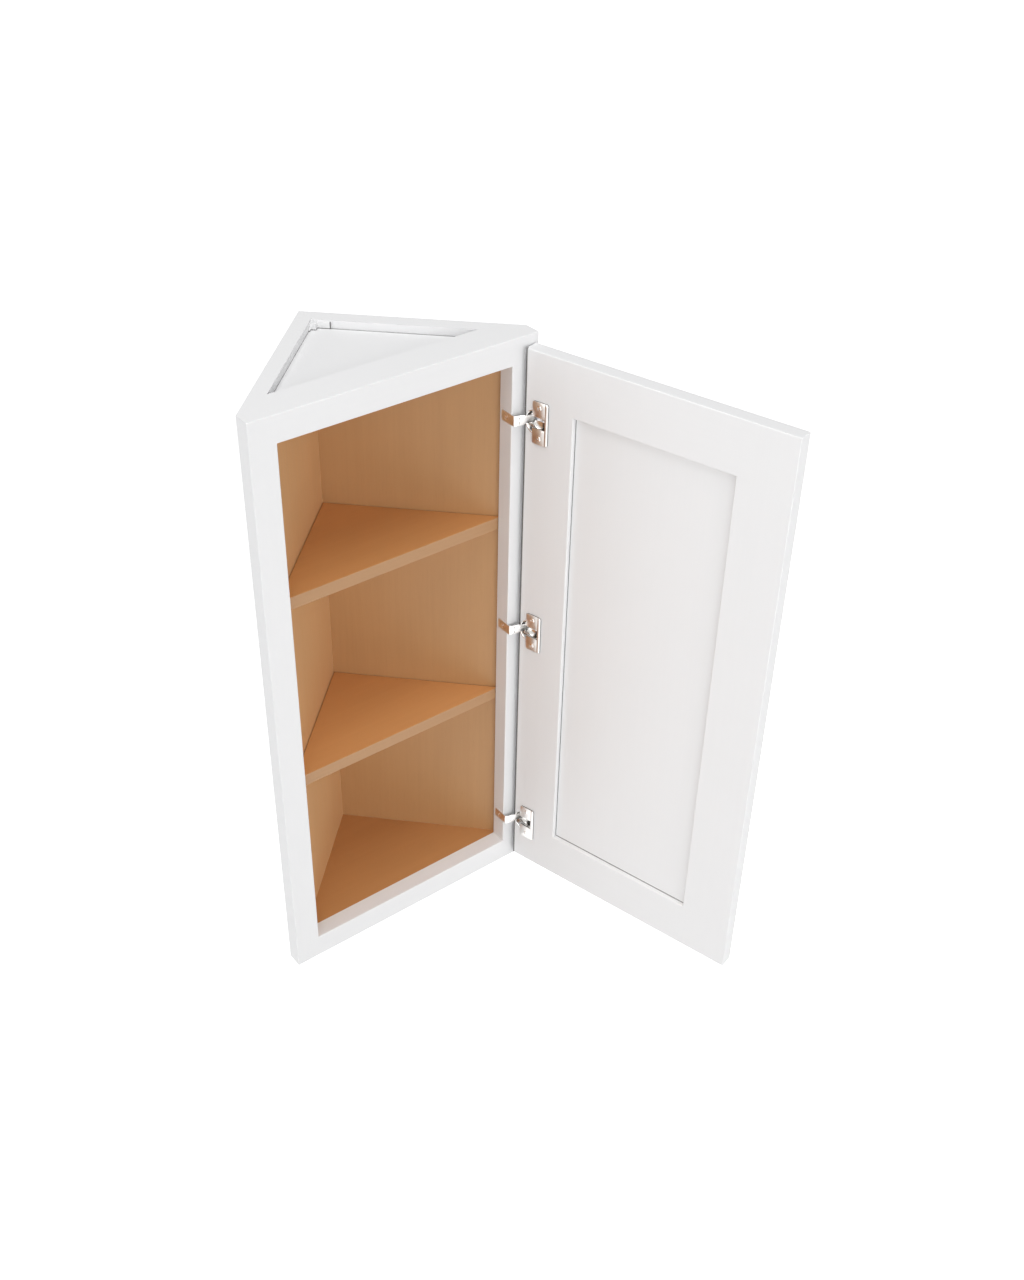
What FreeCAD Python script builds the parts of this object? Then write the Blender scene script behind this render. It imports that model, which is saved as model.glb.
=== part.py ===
import FreeCAD, Part
import math
import os

from FreeCAD import Placement, Rotation, Vector

# Angled end wall cabinet. All sizes are in millimetres and degrees.
# The model stands with the corner of its side panel and back panel at x = 0, y = 0, z = 0.
# +X runs along the wall, +Y points into the wall and +Z is up.
# The saved solids are moved so that the origin is the middle of the wall face.

# Carcass
wall_leg = 304.8
side_leg = 304.8
height = 914.4
side_thickness = 22.0
back_thickness = 24.0
corner_rabbet_depth = 8.0
panel_groove_depth = 8.0
top_panel_thickness = 18.0
top_recess_depth = 11.5
bottom_panel_thickness = 16.0
cleat_width = 26.0

# Face frame
frame_thickness = 25.0
latch_stile_width = 38.1
hinge_stile_width = 42.0
top_rail_height = 38.1
bottom_rail_height = 38.1
frame_tenon_length = 12.0
frame_tenon_thickness = 9.0
frame_tenon_shoulder = 6.0
frame_edge_round = 0.8

# Shelves and the pegs that carry them
shelf_thickness = 19.0
lower_shelf_height = 335.0
upper_shelf_height = 637.0
shelf_wall_clearance = 1.0
shelf_front_clearance = 1.5
shelf_edge_round = 0.8
peg_radius = 3.0
peg_embed = 10.0
peg_reach = 10.0
peg_seat_rise = 1.8
peg_corner_distance = 45.0
peg_spacing = 140.0

# Door, drawn shut and then swung to the open stop
door_thickness = 22.0
door_swing_clearance = 0.5
hinge_side_reveal = 8.7
latch_side_reveal = 27.3
top_reveal = 13.6
bottom_reveal = 9.7
door_stile_width = 78.0
door_rail_width = 77.5
door_edge_round = 1.5
door_inner_chamfer = 1.2
door_panel_thickness = 6.0
door_panel_back_recess = 6.5
door_groove_depth = 10.0
door_panel_float = 1.0
door_open_angle = 105.0

# Hinges: a cup let into the door, an arm on the frame's stile and one pivot pin
lower_hinge_inset = 79.7
middle_hinge_rise = 6.95
upper_hinge_inset = 100.4
cup_bore_radius = 17.5
cup_bore_tab = 3.0
cup_bore_floor_clearance = 0.1
cup_wall = 0.8
cup_rim_width = 1.0
cup_rim_thickness = 1.0
cup_plate_inset = 14.5
cup_plate_bridge = 4.3
cup_plate_height = 62.0
cup_plate_thickness = 2.0
cup_plate_rise = 1.2
cup_plate_lip = 1.8
cup_plate_slope = 1.6
cup_plate_corner = 3.0
cup_slot_clearance = 0.8
cup_notch_depth = 2.0
cup_lug_thickness = 1.2
cup_lug_radius = 2.3
cup_mouth_clearance = 0.7
pivot_wall_clearance = 0.3
pivot_depth = 8.0
pivot_radius = 1.0
pivot_running_clearance = 0.05
arm_thickness = 1.2
arm_width = 15.0
arm_run_tilt = 12.0
arm_eye_width = 11.0
arm_side_clearance = 0.3
arm_bend_radius = 4.2
arm_leaf_length = 20.0
arm_taper_start = 10.2
arm_taper_end = 13.0
spring_thickness = 0.6
spring_width = 7.0
spring_arm_clearance = 0.3
spring_upright = 6.0
spring_wall_clearance = 0.4

# Corner brackets on the top and bottom panels
bracket_leg = 27.0
bracket_height = 9.5
bracket_thickness = 2.0
bracket_side_leg = 15.0
bracket_block = 9.0

# Worked out sizes
up = Vector(0, 0, 1)
frame_width = math.hypot(wall_leg, side_leg)
face_angle = math.degrees(math.atan2(side_leg, wall_leg))
face_start = Vector(0, -side_leg, 0)
face_along = Vector(wall_leg / frame_width, side_leg / frame_width, 0)
face_inward = Vector(-face_along.y, face_along.x, 0)
beyond = 2.0 * (frame_width + height)

opening_left = latch_stile_width
opening_right = frame_width - hinge_stile_width
opening_bottom = bottom_rail_height
opening_top = height - top_rail_height

top_panel_top = height - top_recess_depth
top_panel_bottom = top_panel_top - top_panel_thickness
bottom_panel_top = bottom_rail_height
bottom_panel_bottom = bottom_panel_top - bottom_panel_thickness

# The pivot keeps the arm's eye clear of the cup's wall. The door's gap lets the rounded inner
# edge of the door and the rim of the cup swing past the face frame, and leaves room for the
# door's rounded outer edge at the open stop.
eye_bore_radius = pivot_radius + pivot_running_clearance
eye_radius = eye_bore_radius + arm_thickness
cup_inner_radius = cup_bore_radius - cup_wall
cup_wall_at_eye = math.sqrt(cup_inner_radius ** 2 - (arm_eye_width / 2.0) ** 2)
pivot_inset = cup_bore_tab + cup_bore_radius - cup_wall_at_eye + eye_radius + pivot_wall_clearance
edge_swing = math.hypot(pivot_inset - door_edge_round, pivot_depth - door_edge_round) + door_edge_round
rim_swing = math.hypot(pivot_inset - cup_bore_tab + cup_rim_width, pivot_depth + cup_rim_thickness)
open_turn = math.radians(door_open_angle)
outer_edge_depth = door_thickness - pivot_depth - door_edge_round
outer_edge_reach = (pivot_inset - door_edge_round) * math.sin(open_turn) + door_edge_round
outer_edge_reach -= outer_edge_depth * math.cos(open_turn)
door_gap = max(edge_swing, rim_swing, outer_edge_reach) - pivot_depth + door_swing_clearance

door_left = latch_side_reveal
door_right = frame_width - hinge_side_reveal
door_bottom = bottom_reveal
door_top = height - top_reveal
door_inside = -frame_thickness - door_gap
door_outside = door_inside - door_thickness

cup_centre = door_right - cup_bore_tab - cup_bore_radius
pivot_x = door_right - pivot_inset
pivot_y = door_inside - pivot_depth
cup_floor_depth = pivot_depth + eye_radius + spring_arm_clearance + spring_thickness
cup_depth = cup_floor_depth + cup_wall
slot_end = opening_right - arm_thickness - cup_mouth_clearance


def block(x_range, y_range, z_range):
    """Make a box from its three ranges."""
    low = Vector(x_range[0], y_range[0], z_range[0])
    size = (x_range[1] - x_range[0], y_range[1] - y_range[0], z_range[1] - z_range[0])
    return Part.makeBox(*size, low)


def prism(points, z_low, z_high):
    """Raise a plan outline from z_low to z_high."""
    outline = Part.makePolygon([Vector(x, y, z_low) for x, y in points + points[:1]])
    return Part.Face(outline).extrude(Vector(0, 0, z_high - z_low))


def round_edges(shape, radius, wanted):
    """Round the edges whose middle satisfies wanted."""
    edges = [edge for edge in shape.Edges if wanted(edge.CenterOfMass)]
    return shape.makeFillet(radius, edges)


def same(first, second):
    """Tell whether two coordinates are equal within drawing accuracy."""
    return abs(first - second) < 1e-6


def onto_face(shape):
    """Move a shape from the face frame's own axes to the cabinet.

    In those axes x runs along the frame from the latch side, and y points into the cabinet
    from the frame's back.
    """
    placed = shape.copy()
    placed.Placement = Placement(face_start, Rotation(up, face_angle)).multiply(placed.Placement)
    return placed


def swing_open(shape):
    """Turn a shape of the shut door about the pivot to the open stop."""
    placed = shape.copy()
    placed.rotate(Vector(pivot_x, pivot_y, 0), up, door_open_angle)
    return onto_face(placed)


def front_cut():
    """Make the block that trims everything in front of the face frame's back."""
    return onto_face(block((-beyond, beyond), (-beyond, 0), (-beyond, beyond)))


def plan_triangle(side_inset, back_inset, front_gap, z_low, z_high):
    """Make a triangular slab between the side, the back and the face frame."""
    y_at_side = (front_gap - side_inset * face_inward.x) / face_inward.y - side_leg
    x_at_back = (front_gap - (side_leg - back_inset) * face_inward.y) / face_inward.x
    points = [(side_inset, -back_inset), (side_inset, y_at_side), (x_at_back, -back_inset)]
    return prism(points, z_low, z_high)


def top_panel():
    """Make the top panel, let into grooves of the side and the back."""
    side_inset = side_thickness - panel_groove_depth
    back_inset = back_thickness - panel_groove_depth
    return plan_triangle(side_inset, back_inset, 0, top_panel_bottom, top_panel_top)


def bottom_panel():
    """Make the bottom panel, level with the top of the bottom rail."""
    side_inset = side_thickness - panel_groove_depth
    back_inset = back_thickness - panel_groove_depth
    return plan_triangle(side_inset, back_inset, 0, bottom_panel_bottom, bottom_panel_top)


def top_cleat():
    """Make the cleat behind the top rail, level with the cabinet's top."""
    wide = plan_triangle(side_thickness, back_thickness, 0, top_panel_top, height)
    behind = plan_triangle(side_thickness, back_thickness, cleat_width, top_panel_top, height)
    return wide.cut(behind)


def shelf(top):
    """Make a loose shelf whose upper face is at the given height."""
    side_inset = side_thickness + shelf_wall_clearance
    back_inset = back_thickness + shelf_wall_clearance
    slab = plan_triangle(side_inset, back_inset, shelf_front_clearance, top - shelf_thickness, top)

    def is_front(middle):
        depth = (middle - face_start).dot(face_inward)
        level = same(middle.z, top) or same(middle.z, top - shelf_thickness)
        return same(depth, shelf_front_clearance) and level

    return round_edges(slab, shelf_edge_round, is_front)


def peg(seat):
    """Make one shelf peg that points along +X out of a wall at x = 0, with a flat top at seat."""
    root = Vector(-peg_embed, 0, seat - peg_seat_rise)
    pin = Part.makeCylinder(peg_radius, peg_embed + peg_reach, root, Vector(1, 0, 0))
    above = block((0, beyond), (-beyond, beyond), (seat, seat + beyond))
    return pin.cut(above)


def shelf_pegs(top):
    """Make the four pegs under a shelf, two in the side panel and two in the back panel."""
    seat = top - shelf_thickness
    pegs = []
    for distance in (peg_corner_distance, peg_corner_distance + peg_spacing):
        on_side = peg(seat)
        on_side.translate(Vector(side_thickness, -back_thickness - distance, 0))
        on_back = peg(seat)
        on_back.rotate(Vector(0, 0, 0), up, -90.0)
        on_back.translate(Vector(side_thickness + distance, -back_thickness, 0))
        pegs += [on_side, on_back]
    return pegs


def side_panel(pegs):
    """Make the side panel: rabbeted for the back, grooved for the panels, mitred to the frame."""
    panel = block((0, side_thickness), (-side_leg - side_thickness, 0), (0, height))
    rabbet = block((side_thickness - corner_rabbet_depth, side_thickness), (-back_thickness, 0), (0, height))
    return panel.cut([front_cut(), rabbet, top_panel(), bottom_panel()] + pegs)


def back_panel(pegs):
    """Make the back panel that lies against the wall."""
    start = side_thickness - corner_rabbet_depth
    panel = block((start, wall_leg + back_thickness), (-back_thickness, 0), (0, height))
    return panel.cut([front_cut(), top_panel(), bottom_panel()] + pegs)


def frame_tenon(x_range, z_range):
    """Make the tenon of one rail end."""
    middle = -frame_thickness / 2.0
    y_range = (middle - frame_tenon_thickness / 2.0, middle + frame_tenon_thickness / 2.0)
    z_inner = (z_range[0] + frame_tenon_shoulder, z_range[1] - frame_tenon_shoulder)
    return block(x_range, y_range, z_inner)


def rail_tenons(z_range):
    """Make both tenons of a face frame rail."""
    left = frame_tenon((opening_left - frame_tenon_length, opening_left), z_range)
    right = frame_tenon((opening_right, opening_right + frame_tenon_length), z_range)
    return [left, right]


def eased_opening(x_range, z_range, face, inward, size):
    """Make the cutter that takes a chamfer off the four edges of a rectangular opening.

    The opening lies in the plane y = face, and inward is the direction of the wood, +1 or -1.
    """
    def ring(grow, y):
        corners = [(x_range[0] - grow, z_range[0] - grow), (x_range[1] + grow, z_range[0] - grow),
                   (x_range[1] + grow, z_range[1] + grow), (x_range[0] - grow, z_range[1] + grow)]
        return Part.makePolygon([Vector(x, y, z) for x, z in corners + corners[:1]])

    outer = ring(2.0 * size, face - inward * size)
    inner = ring(0.0, face + inward * size)
    return Part.makeLoft([outer, inner], True, True)


def frame_opening_cut():
    """Make the cutter that eases the front edges of the face frame's opening."""
    x_range = (opening_left, opening_right)
    z_range = (opening_bottom, opening_top)
    return eased_opening(x_range, z_range, -frame_thickness, 1.0, frame_edge_round)


bottom_rail_range = (0, bottom_rail_height)
top_rail_range = (height - top_rail_height, height)


def frame_stile(x_range, joint_x):
    """Make one stile of the face frame; joint_x is its edge along the opening."""
    post = block(x_range, (-frame_thickness, 0), (0, height))

    def is_outer_front(middle):
        return same(middle.y, -frame_thickness) and not same(middle.x, joint_x)

    post = round_edges(post, frame_edge_round, is_outer_front)
    mortises = rail_tenons(bottom_rail_range) + rail_tenons(top_rail_range)
    return post.cut(mortises + [frame_opening_cut()])


def frame_rail(z_range, outer_z):
    """Make one rail of the face frame with its tenons; outer_z is its outside edge."""
    rail = block((opening_left, opening_right), (-frame_thickness, 0), z_range)

    def is_outer_front(middle):
        return same(middle.y, -frame_thickness) and same(middle.z, outer_z)

    rail = round_edges(rail, frame_edge_round, is_outer_front).cut(frame_opening_cut())
    return rail.fuse(rail_tenons(z_range)).removeSplitter()


def arm_profile():
    """Draw the arm in plan: a leaf on the stile, a bend and a tilted run that meets the eye."""
    tilt = math.radians(arm_run_tilt)
    run_normal = Vector(-math.sin(tilt), -math.cos(tilt), 0)
    leaf_normal = Vector(-1, 0, 0)
    pivot = Vector(pivot_x, pivot_y, 0)
    leaf_near = opening_right
    leaf_far = opening_right - arm_thickness
    leaf_tip = -frame_thickness + arm_leaf_length
    bend_x = leaf_far + arm_bend_radius
    reach = eye_radius - arm_bend_radius - (bend_x - pivot_x) * run_normal.x
    centre = Vector(bend_x, pivot_y + reach / run_normal.y, 0)
    between = (leaf_normal + run_normal).normalize()

    def arc(radius):
        return [centre + direction * radius for direction in (leaf_normal, between, run_normal)]

    outer = arc(arm_bend_radius)
    inner = arc(arm_bend_radius - arm_thickness)
    eye_points = [pivot + run_normal * radius for radius in (eye_radius, eye_bore_radius)]
    edges = [
        Part.makeLine(Vector(leaf_far, leaf_tip, 0), outer[0]),
        Part.Arc(*outer).toShape(),
        Part.makePolygon([outer[2], *eye_points, inner[2]]),
        Part.Arc(*reversed(inner)).toShape(),
        Part.makePolygon([inner[0], Vector(leaf_near, leaf_tip, 0), Vector(leaf_far, leaf_tip, 0)]),
    ]
    return Part.Face(Part.Wire(edges))


def hinge_arm(level):
    """Make the frame's half of a hinge: the bent arm with an eye round the pin."""
    low = Vector(0, 0, level - arm_width / 2.0)
    strap = arm_profile().extrude(Vector(0, 0, arm_width))
    eye = Part.makeCylinder(eye_radius, arm_width, Vector(pivot_x, pivot_y, 0))
    bore = Part.makeCylinder(eye_bore_radius, arm_width, Vector(pivot_x, pivot_y, 0))
    arm = strap.fuse(eye).removeSplitter().cut(bore)
    arm.translate(low)
    return arm.common(arm_outline(level))


def arm_outline(level):
    """Make the tapered slab that narrows the arm from its leaf towards its eye."""
    wide = arm_width / 2.0
    narrow = arm_eye_width / 2.0
    far = pivot_x - arm_taper_end
    near = pivot_x - arm_taper_start
    start = opening_right - beyond
    end = pivot_x + 2.0 * eye_radius
    corners = [(start, -wide), (far, -wide), (near, -narrow), (end, -narrow),
               (end, narrow), (near, narrow), (far, wide), (start, wide)]
    outline = Part.makePolygon([Vector(x, -beyond, level + z) for x, z in corners + corners[:1]])
    return Part.Face(outline).extrude(Vector(0, 2.0 * beyond, 0))


def cup_cylinder(radius, near, far, level):
    """Make a cylinder on the cup's axis between two depths below the door's inner face."""
    start = Vector(cup_centre, door_inside - near, level)
    return Part.makeCylinder(radius, far - near, start, Vector(0, -1, 0))


def cup_plate(level):
    """Make the screw plate over a cup: thin on both sides of the arm's slot, raised beyond it."""
    half = cup_plate_height / 2.0
    slot_half = arm_width / 2.0 + cup_slot_clearance
    near_edge = door_right - cup_plate_inset
    far_edge = slot_end - cup_plate_bridge
    lip = door_inside + cup_plate_lip
    thin = door_inside + cup_plate_thickness
    thick = thin + cup_plate_rise
    across = [(near_edge, door_inside), (near_edge, thin), (slot_end, thin), (slot_end, thick),
              (far_edge + cup_plate_slope, thick), (far_edge, lip), (far_edge, door_inside)]
    ends = [(-half, door_inside), (-half, lip), (-half + cup_plate_slope, thick),
            (half - cup_plate_slope, thick), (half, lip), (half, door_inside)]
    sloped = Part.Face(Part.makePolygon([Vector(far_edge, y, level + z) for z, y in ends + ends[:1]]))
    corners = block((far_edge, near_edge), (door_inside, thick), (level - half, level + half))
    corners = round_edges(corners, cup_plate_corner, lambda middle: same(2.0 * middle.y, door_inside + thick))
    plate = prism(across, level - half, level + half)
    plate = plate.common(sloped.extrude(Vector(near_edge - far_edge, 0, 0))).common(corners)
    slot = block((slot_end, near_edge), (door_inside, thick), (level - slot_half, level + slot_half))
    return plate.cut(slot)


def cup_notch(level):
    """Make the cutter that lowers a cup's wall at the door's edge, where the open arm leaves it."""
    half = arm_eye_width / 2.0 + arm_side_clearance
    y_range = (door_inside - cup_notch_depth, door_inside + cup_rim_thickness)
    return block((pivot_x, door_right), y_range, (level - half, level + half))


def cup_lugs(level):
    """Make the two lugs inside a cup that hold the ends of the pivot pin."""
    gap = arm_eye_width / 2.0 + arm_side_clearance
    lugs = []
    for low in (level + gap, level - gap - cup_lug_thickness):
        eye = Part.makeCylinder(cup_lug_radius, cup_lug_thickness, Vector(pivot_x, pivot_y, low))
        foot = block((pivot_x - cup_lug_radius, pivot_x + cup_lug_radius),
                     (door_inside - cup_floor_depth - cup_wall / 2.0, pivot_y),
                     (low, low + cup_lug_thickness))
        lugs.append(eye.fuse(foot).removeSplitter())
    return lugs


def hinge_cup(level):
    """Make the door's half of a hinge: a drawn cup, its rim, its screw plate and its lugs."""
    outer = cup_cylinder(cup_bore_radius, 0, cup_depth, level)
    rim = cup_cylinder(cup_bore_radius + cup_rim_width, -cup_rim_thickness, 0, level)
    mouth = cup_cylinder(cup_inner_radius, -cup_rim_thickness, cup_floor_depth, level)
    shell = outer.fuse(rim).cut([mouth, cup_notch(level)]).fuse(cup_plate(level))
    lugs = [lug.common(outer) for lug in cup_lugs(level)]
    return shell.fuse(lugs).removeSplitter().cut(hinge_pin(level))


def hinge_pin(level):
    """Make the pivot pin, held by the cup's lugs and running in the arm's eye."""
    half = arm_eye_width / 2.0 + arm_side_clearance + cup_lug_thickness
    return Part.makeCylinder(pivot_radius, 2.0 * half, Vector(pivot_x, pivot_y, level - half))


def hinge_spring(level):
    """Make the closing leaf spring that lies on the cup's floor and turns up at the far wall."""
    floor = door_inside - cup_floor_depth
    near = pivot_x - cup_lug_radius
    reach = math.sqrt(cup_inner_radius ** 2 - (spring_width / 2.0) ** 2)
    far = cup_centre - reach + spring_wall_clearance
    points = [(near, floor), (near, floor + spring_thickness),
              (far + spring_thickness, floor + spring_thickness),
              (far + spring_thickness, floor + spring_upright), (far, floor + spring_upright), (far, floor)]
    return prism(points, level - spring_width / 2.0, level + spring_width / 2.0)


def panel_window(reach):
    """Give the ranges of the door frame's opening, grown on all sides by reach."""
    x_range = (door_left + door_stile_width - reach, door_right - door_stile_width + reach)
    z_range = (door_bottom + door_rail_width - reach, door_top - door_rail_width + reach)
    return x_range, z_range


def door_frame_cuts():
    """Make the cutters that ease the inner edges of the door's frame on both faces."""
    x_range, z_range = panel_window(0)
    return [
        eased_opening(x_range, z_range, door_inside, -1.0, door_inner_chamfer),
        eased_opening(x_range, z_range, door_outside, 1.0, door_inner_chamfer),
    ]


def door_groove():
    """Make the slab whose edges cut the panel groove into the door's frame."""
    back = door_inside - door_panel_back_recess
    x_range, z_range = panel_window(door_groove_depth)
    return block(x_range, (back - door_panel_thickness, back), z_range)


def door_panel():
    """Make the flat panel that floats in the groove of the door's frame."""
    back = door_inside - door_panel_back_recess
    x_range, z_range = panel_window(door_groove_depth - door_panel_float)
    return block(x_range, (back - door_panel_thickness, back), z_range)


def rail_tongues(z_range):
    """Make the stub tenons that carry a door rail in the stiles' mortises."""
    back = door_inside - door_panel_back_recess
    left = door_left + door_stile_width
    right = door_right - door_stile_width
    y_range = (back - door_panel_thickness, back)
    return [block((left - door_groove_depth, left), y_range, z_range),
            block((right, right + door_groove_depth), y_range, z_range)]


door_bottom_range = (door_bottom + door_groove_depth, door_bottom + door_rail_width - door_groove_depth)
door_top_range = (door_top - door_rail_width + door_groove_depth, door_top - door_groove_depth)


def door_stile(x_range, joint_x, extra_cuts):
    """Make one stile of the door; joint_x is its edge along the panel."""
    post = block(x_range, (door_outside, door_inside), (door_bottom, door_top))
    post = round_edges(post, door_edge_round, lambda middle: not same(middle.x, joint_x))
    sockets = rail_tongues(door_bottom_range) + rail_tongues(door_top_range)
    return post.cut(door_frame_cuts() + [door_groove()] + sockets + extra_cuts)


def door_rail(z_range, outer_z, tongue_range):
    """Make one rail of the door with its stub tenons; outer_z is its outside edge."""
    x_range = (door_left + door_stile_width, door_right - door_stile_width)
    rail = block(x_range, (door_outside, door_inside), z_range)

    def is_outer(middle):
        return same(middle.z, outer_z) and not any(same(middle.x, end) for end in x_range)

    rail = round_edges(rail, door_edge_round, is_outer)
    rail = rail.cut(door_frame_cuts() + [door_groove()])
    return rail.fuse(rail_tongues(tongue_range)).removeSplitter()


def corner_bracket(level, side):
    """Make a corner bracket: a block, a flange along the back and a tapered one along the side."""
    far_edge = level + side * bracket_height
    z_range = (min(level, far_edge), max(level, far_edge))
    corner_x = side_thickness
    corner_y = -back_thickness
    cube = block((corner_x, corner_x + bracket_block), (corner_y - bracket_block, corner_y), z_range)
    flange = block((corner_x, corner_x + bracket_leg), (corner_y - bracket_thickness, corner_y), z_range)
    slope = [Vector(corner_x, corner_y, level), Vector(corner_x, corner_y - bracket_side_leg, level),
             Vector(corner_x, corner_y, far_edge), Vector(corner_x, corner_y, level)]
    gusset = Part.Face(Part.makePolygon(slope)).extrude(Vector(bracket_thickness, 0, 0))
    return cube.fuse([flange, gusset]).removeSplitter()


hinge_levels = {
    "upper": door_top - upper_hinge_inset,
    "middle": (door_bottom + door_top) / 2.0 + middle_hinge_rise,
    "lower": door_bottom + lower_hinge_inset,
}


def carcass_nodes():
    """Make everything that stays on the wall."""
    upper_pegs = shelf_pegs(upper_shelf_height)
    lower_pegs = shelf_pegs(lower_shelf_height)
    nodes = {
        "side_panel": side_panel(upper_pegs + lower_pegs),
        "back_panel": back_panel(upper_pegs + lower_pegs),
        "top_panel": top_panel(),
        "bottom_panel": bottom_panel(),
        "top_cleat": top_cleat(),
        "latch_stile": onto_face(frame_stile((0, opening_left), opening_left)),
        "hinge_stile": onto_face(frame_stile((opening_right, frame_width), opening_right)),
        "bottom_rail": onto_face(frame_rail(bottom_rail_range, 0)),
        "top_rail": onto_face(frame_rail(top_rail_range, height)),
        "top_corner_bracket": corner_bracket(top_panel_top, 1),
        "bottom_corner_bracket": corner_bracket(bottom_panel_bottom, -1),
        "upper_shelf_pegs": Part.makeCompound(upper_pegs),
        "lower_shelf_pegs": Part.makeCompound(lower_pegs),
    }
    for name, level in hinge_levels.items():
        nodes[name + "_hinge_arm"] = onto_face(hinge_arm(level))
    return nodes


def shelf_nodes():
    """Make the two loose shelves."""
    return {"upper_shelf": shelf(upper_shelf_height), "lower_shelf": shelf(lower_shelf_height)}


def door_nodes():
    """Make the door and the hinge parts that swing with it."""
    bore_depth = cup_depth + cup_bore_floor_clearance
    bores = [cup_cylinder(cup_bore_radius, 0, bore_depth, level) for level in hinge_levels.values()]
    latch_joint = door_left + door_stile_width
    hinge_joint = door_right - door_stile_width
    low_rail = (door_bottom, door_bottom + door_rail_width)
    high_rail = (door_top - door_rail_width, door_top)
    nodes = {
        "door_latch_stile": door_stile((door_left, latch_joint), latch_joint, []),
        "door_hinge_stile": door_stile((hinge_joint, door_right), hinge_joint, bores),
        "door_bottom_rail": door_rail(low_rail, door_bottom, door_bottom_range),
        "door_top_rail": door_rail(high_rail, door_top, door_top_range),
        "door_panel": door_panel(),
    }
    for name, level in hinge_levels.items():
        nodes[name + "_hinge_cup"] = hinge_cup(level)
        nodes[name + "_hinge_pin"] = hinge_pin(level)
        nodes[name + "_hinge_spring"] = hinge_spring(level)
    return {name: swing_open(shape) for name, shape in nodes.items()}


def save(name, shape):
    """Move a finished node to the middle of the wall face and write it."""
    moved = shape.copy()
    moved.translate(Vector(-wall_leg / 2.0, 0, -height / 2.0))
    moved.exportStep(os.path.join("parts", name + ".step"))


def main():
    """Build every node and write one file for each."""
    os.makedirs("parts", exist_ok=True)
    for group in (carcass_nodes(), shelf_nodes(), door_nodes()):
        for name, shape in group.items():
            save(name, shape)


main()
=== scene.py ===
import logging
import math
from dataclasses import dataclass, field
from enum import Enum
from typing import Callable, Optional, Union

import bmesh
import bpy
from mathutils import Matrix, Vector


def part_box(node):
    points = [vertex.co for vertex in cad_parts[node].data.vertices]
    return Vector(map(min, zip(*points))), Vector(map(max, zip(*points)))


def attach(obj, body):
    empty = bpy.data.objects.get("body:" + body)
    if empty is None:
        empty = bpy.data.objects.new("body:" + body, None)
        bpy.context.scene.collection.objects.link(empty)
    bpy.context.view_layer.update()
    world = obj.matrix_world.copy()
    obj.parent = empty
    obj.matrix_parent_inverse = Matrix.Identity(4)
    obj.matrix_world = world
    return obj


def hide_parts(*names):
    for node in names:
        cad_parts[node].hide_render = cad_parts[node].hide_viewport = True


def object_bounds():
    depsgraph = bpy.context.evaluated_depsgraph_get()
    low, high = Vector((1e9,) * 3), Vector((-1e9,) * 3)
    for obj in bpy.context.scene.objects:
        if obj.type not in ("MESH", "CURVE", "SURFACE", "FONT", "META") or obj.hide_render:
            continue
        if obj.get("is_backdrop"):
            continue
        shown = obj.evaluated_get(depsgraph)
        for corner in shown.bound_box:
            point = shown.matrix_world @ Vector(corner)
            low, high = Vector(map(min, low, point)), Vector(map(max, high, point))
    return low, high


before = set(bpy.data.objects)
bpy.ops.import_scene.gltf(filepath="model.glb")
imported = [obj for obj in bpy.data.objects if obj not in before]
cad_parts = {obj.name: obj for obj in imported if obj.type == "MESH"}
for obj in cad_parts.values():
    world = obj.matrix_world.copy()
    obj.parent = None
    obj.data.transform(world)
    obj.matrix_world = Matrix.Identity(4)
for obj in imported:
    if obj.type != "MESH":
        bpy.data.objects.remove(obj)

log = logging.getLogger("angled_end_cabinet")

MM = 0.001

# The face frame stands at FACE_TURN degrees to the wall, and the door is swung open from it by DOOR_OPEN.
FACE_TURN = 45.0
DOOR_OPEN = 105.0
DOOR_TURN = FACE_TURN + DOOR_OPEN
QUARTER_TURN = 90.0
FULL_TURN = 360.0

# Vertices closer than WELD_DISTANCE are merged, and places within a HAIR count as one, in millimetres.
WELD_DISTANCE = 1e-4
HAIR = 0.01

# The middle of a rounded corner lies this share of its radius in from both faces.
ROUND_SHARE = 0.3

# A small rounded edge is drawn in this many steps.
EDGE_SEGMENTS = 2

Colour = tuple[float, float, float, float]
Point = tuple[float, float]
Triple = tuple[float, float, float]
Mesh = bmesh.types.BMesh
Edge = bmesh.types.BMEdge
Vertex = bmesh.types.BMVert
Material = bpy.types.Material


class Body(Enum):
    """The bodies that new pieces ride on."""

    CARCASS = "carcass"
    DOOR = "door"


class Slot(Enum):
    """The record's material slots, listed for the new pieces."""

    WHITE_PLASTIC = "white_plastic"
    PLATED_STEEL = "plated_steel"
    SPRING_STEEL = "spring_steel"


class Axis(Enum):
    """The axes of the cabinet's frame, named for what they run along."""

    WALL = "X"
    DEPTH = "Y"
    UP = "Z"


# Shader maths


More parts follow.
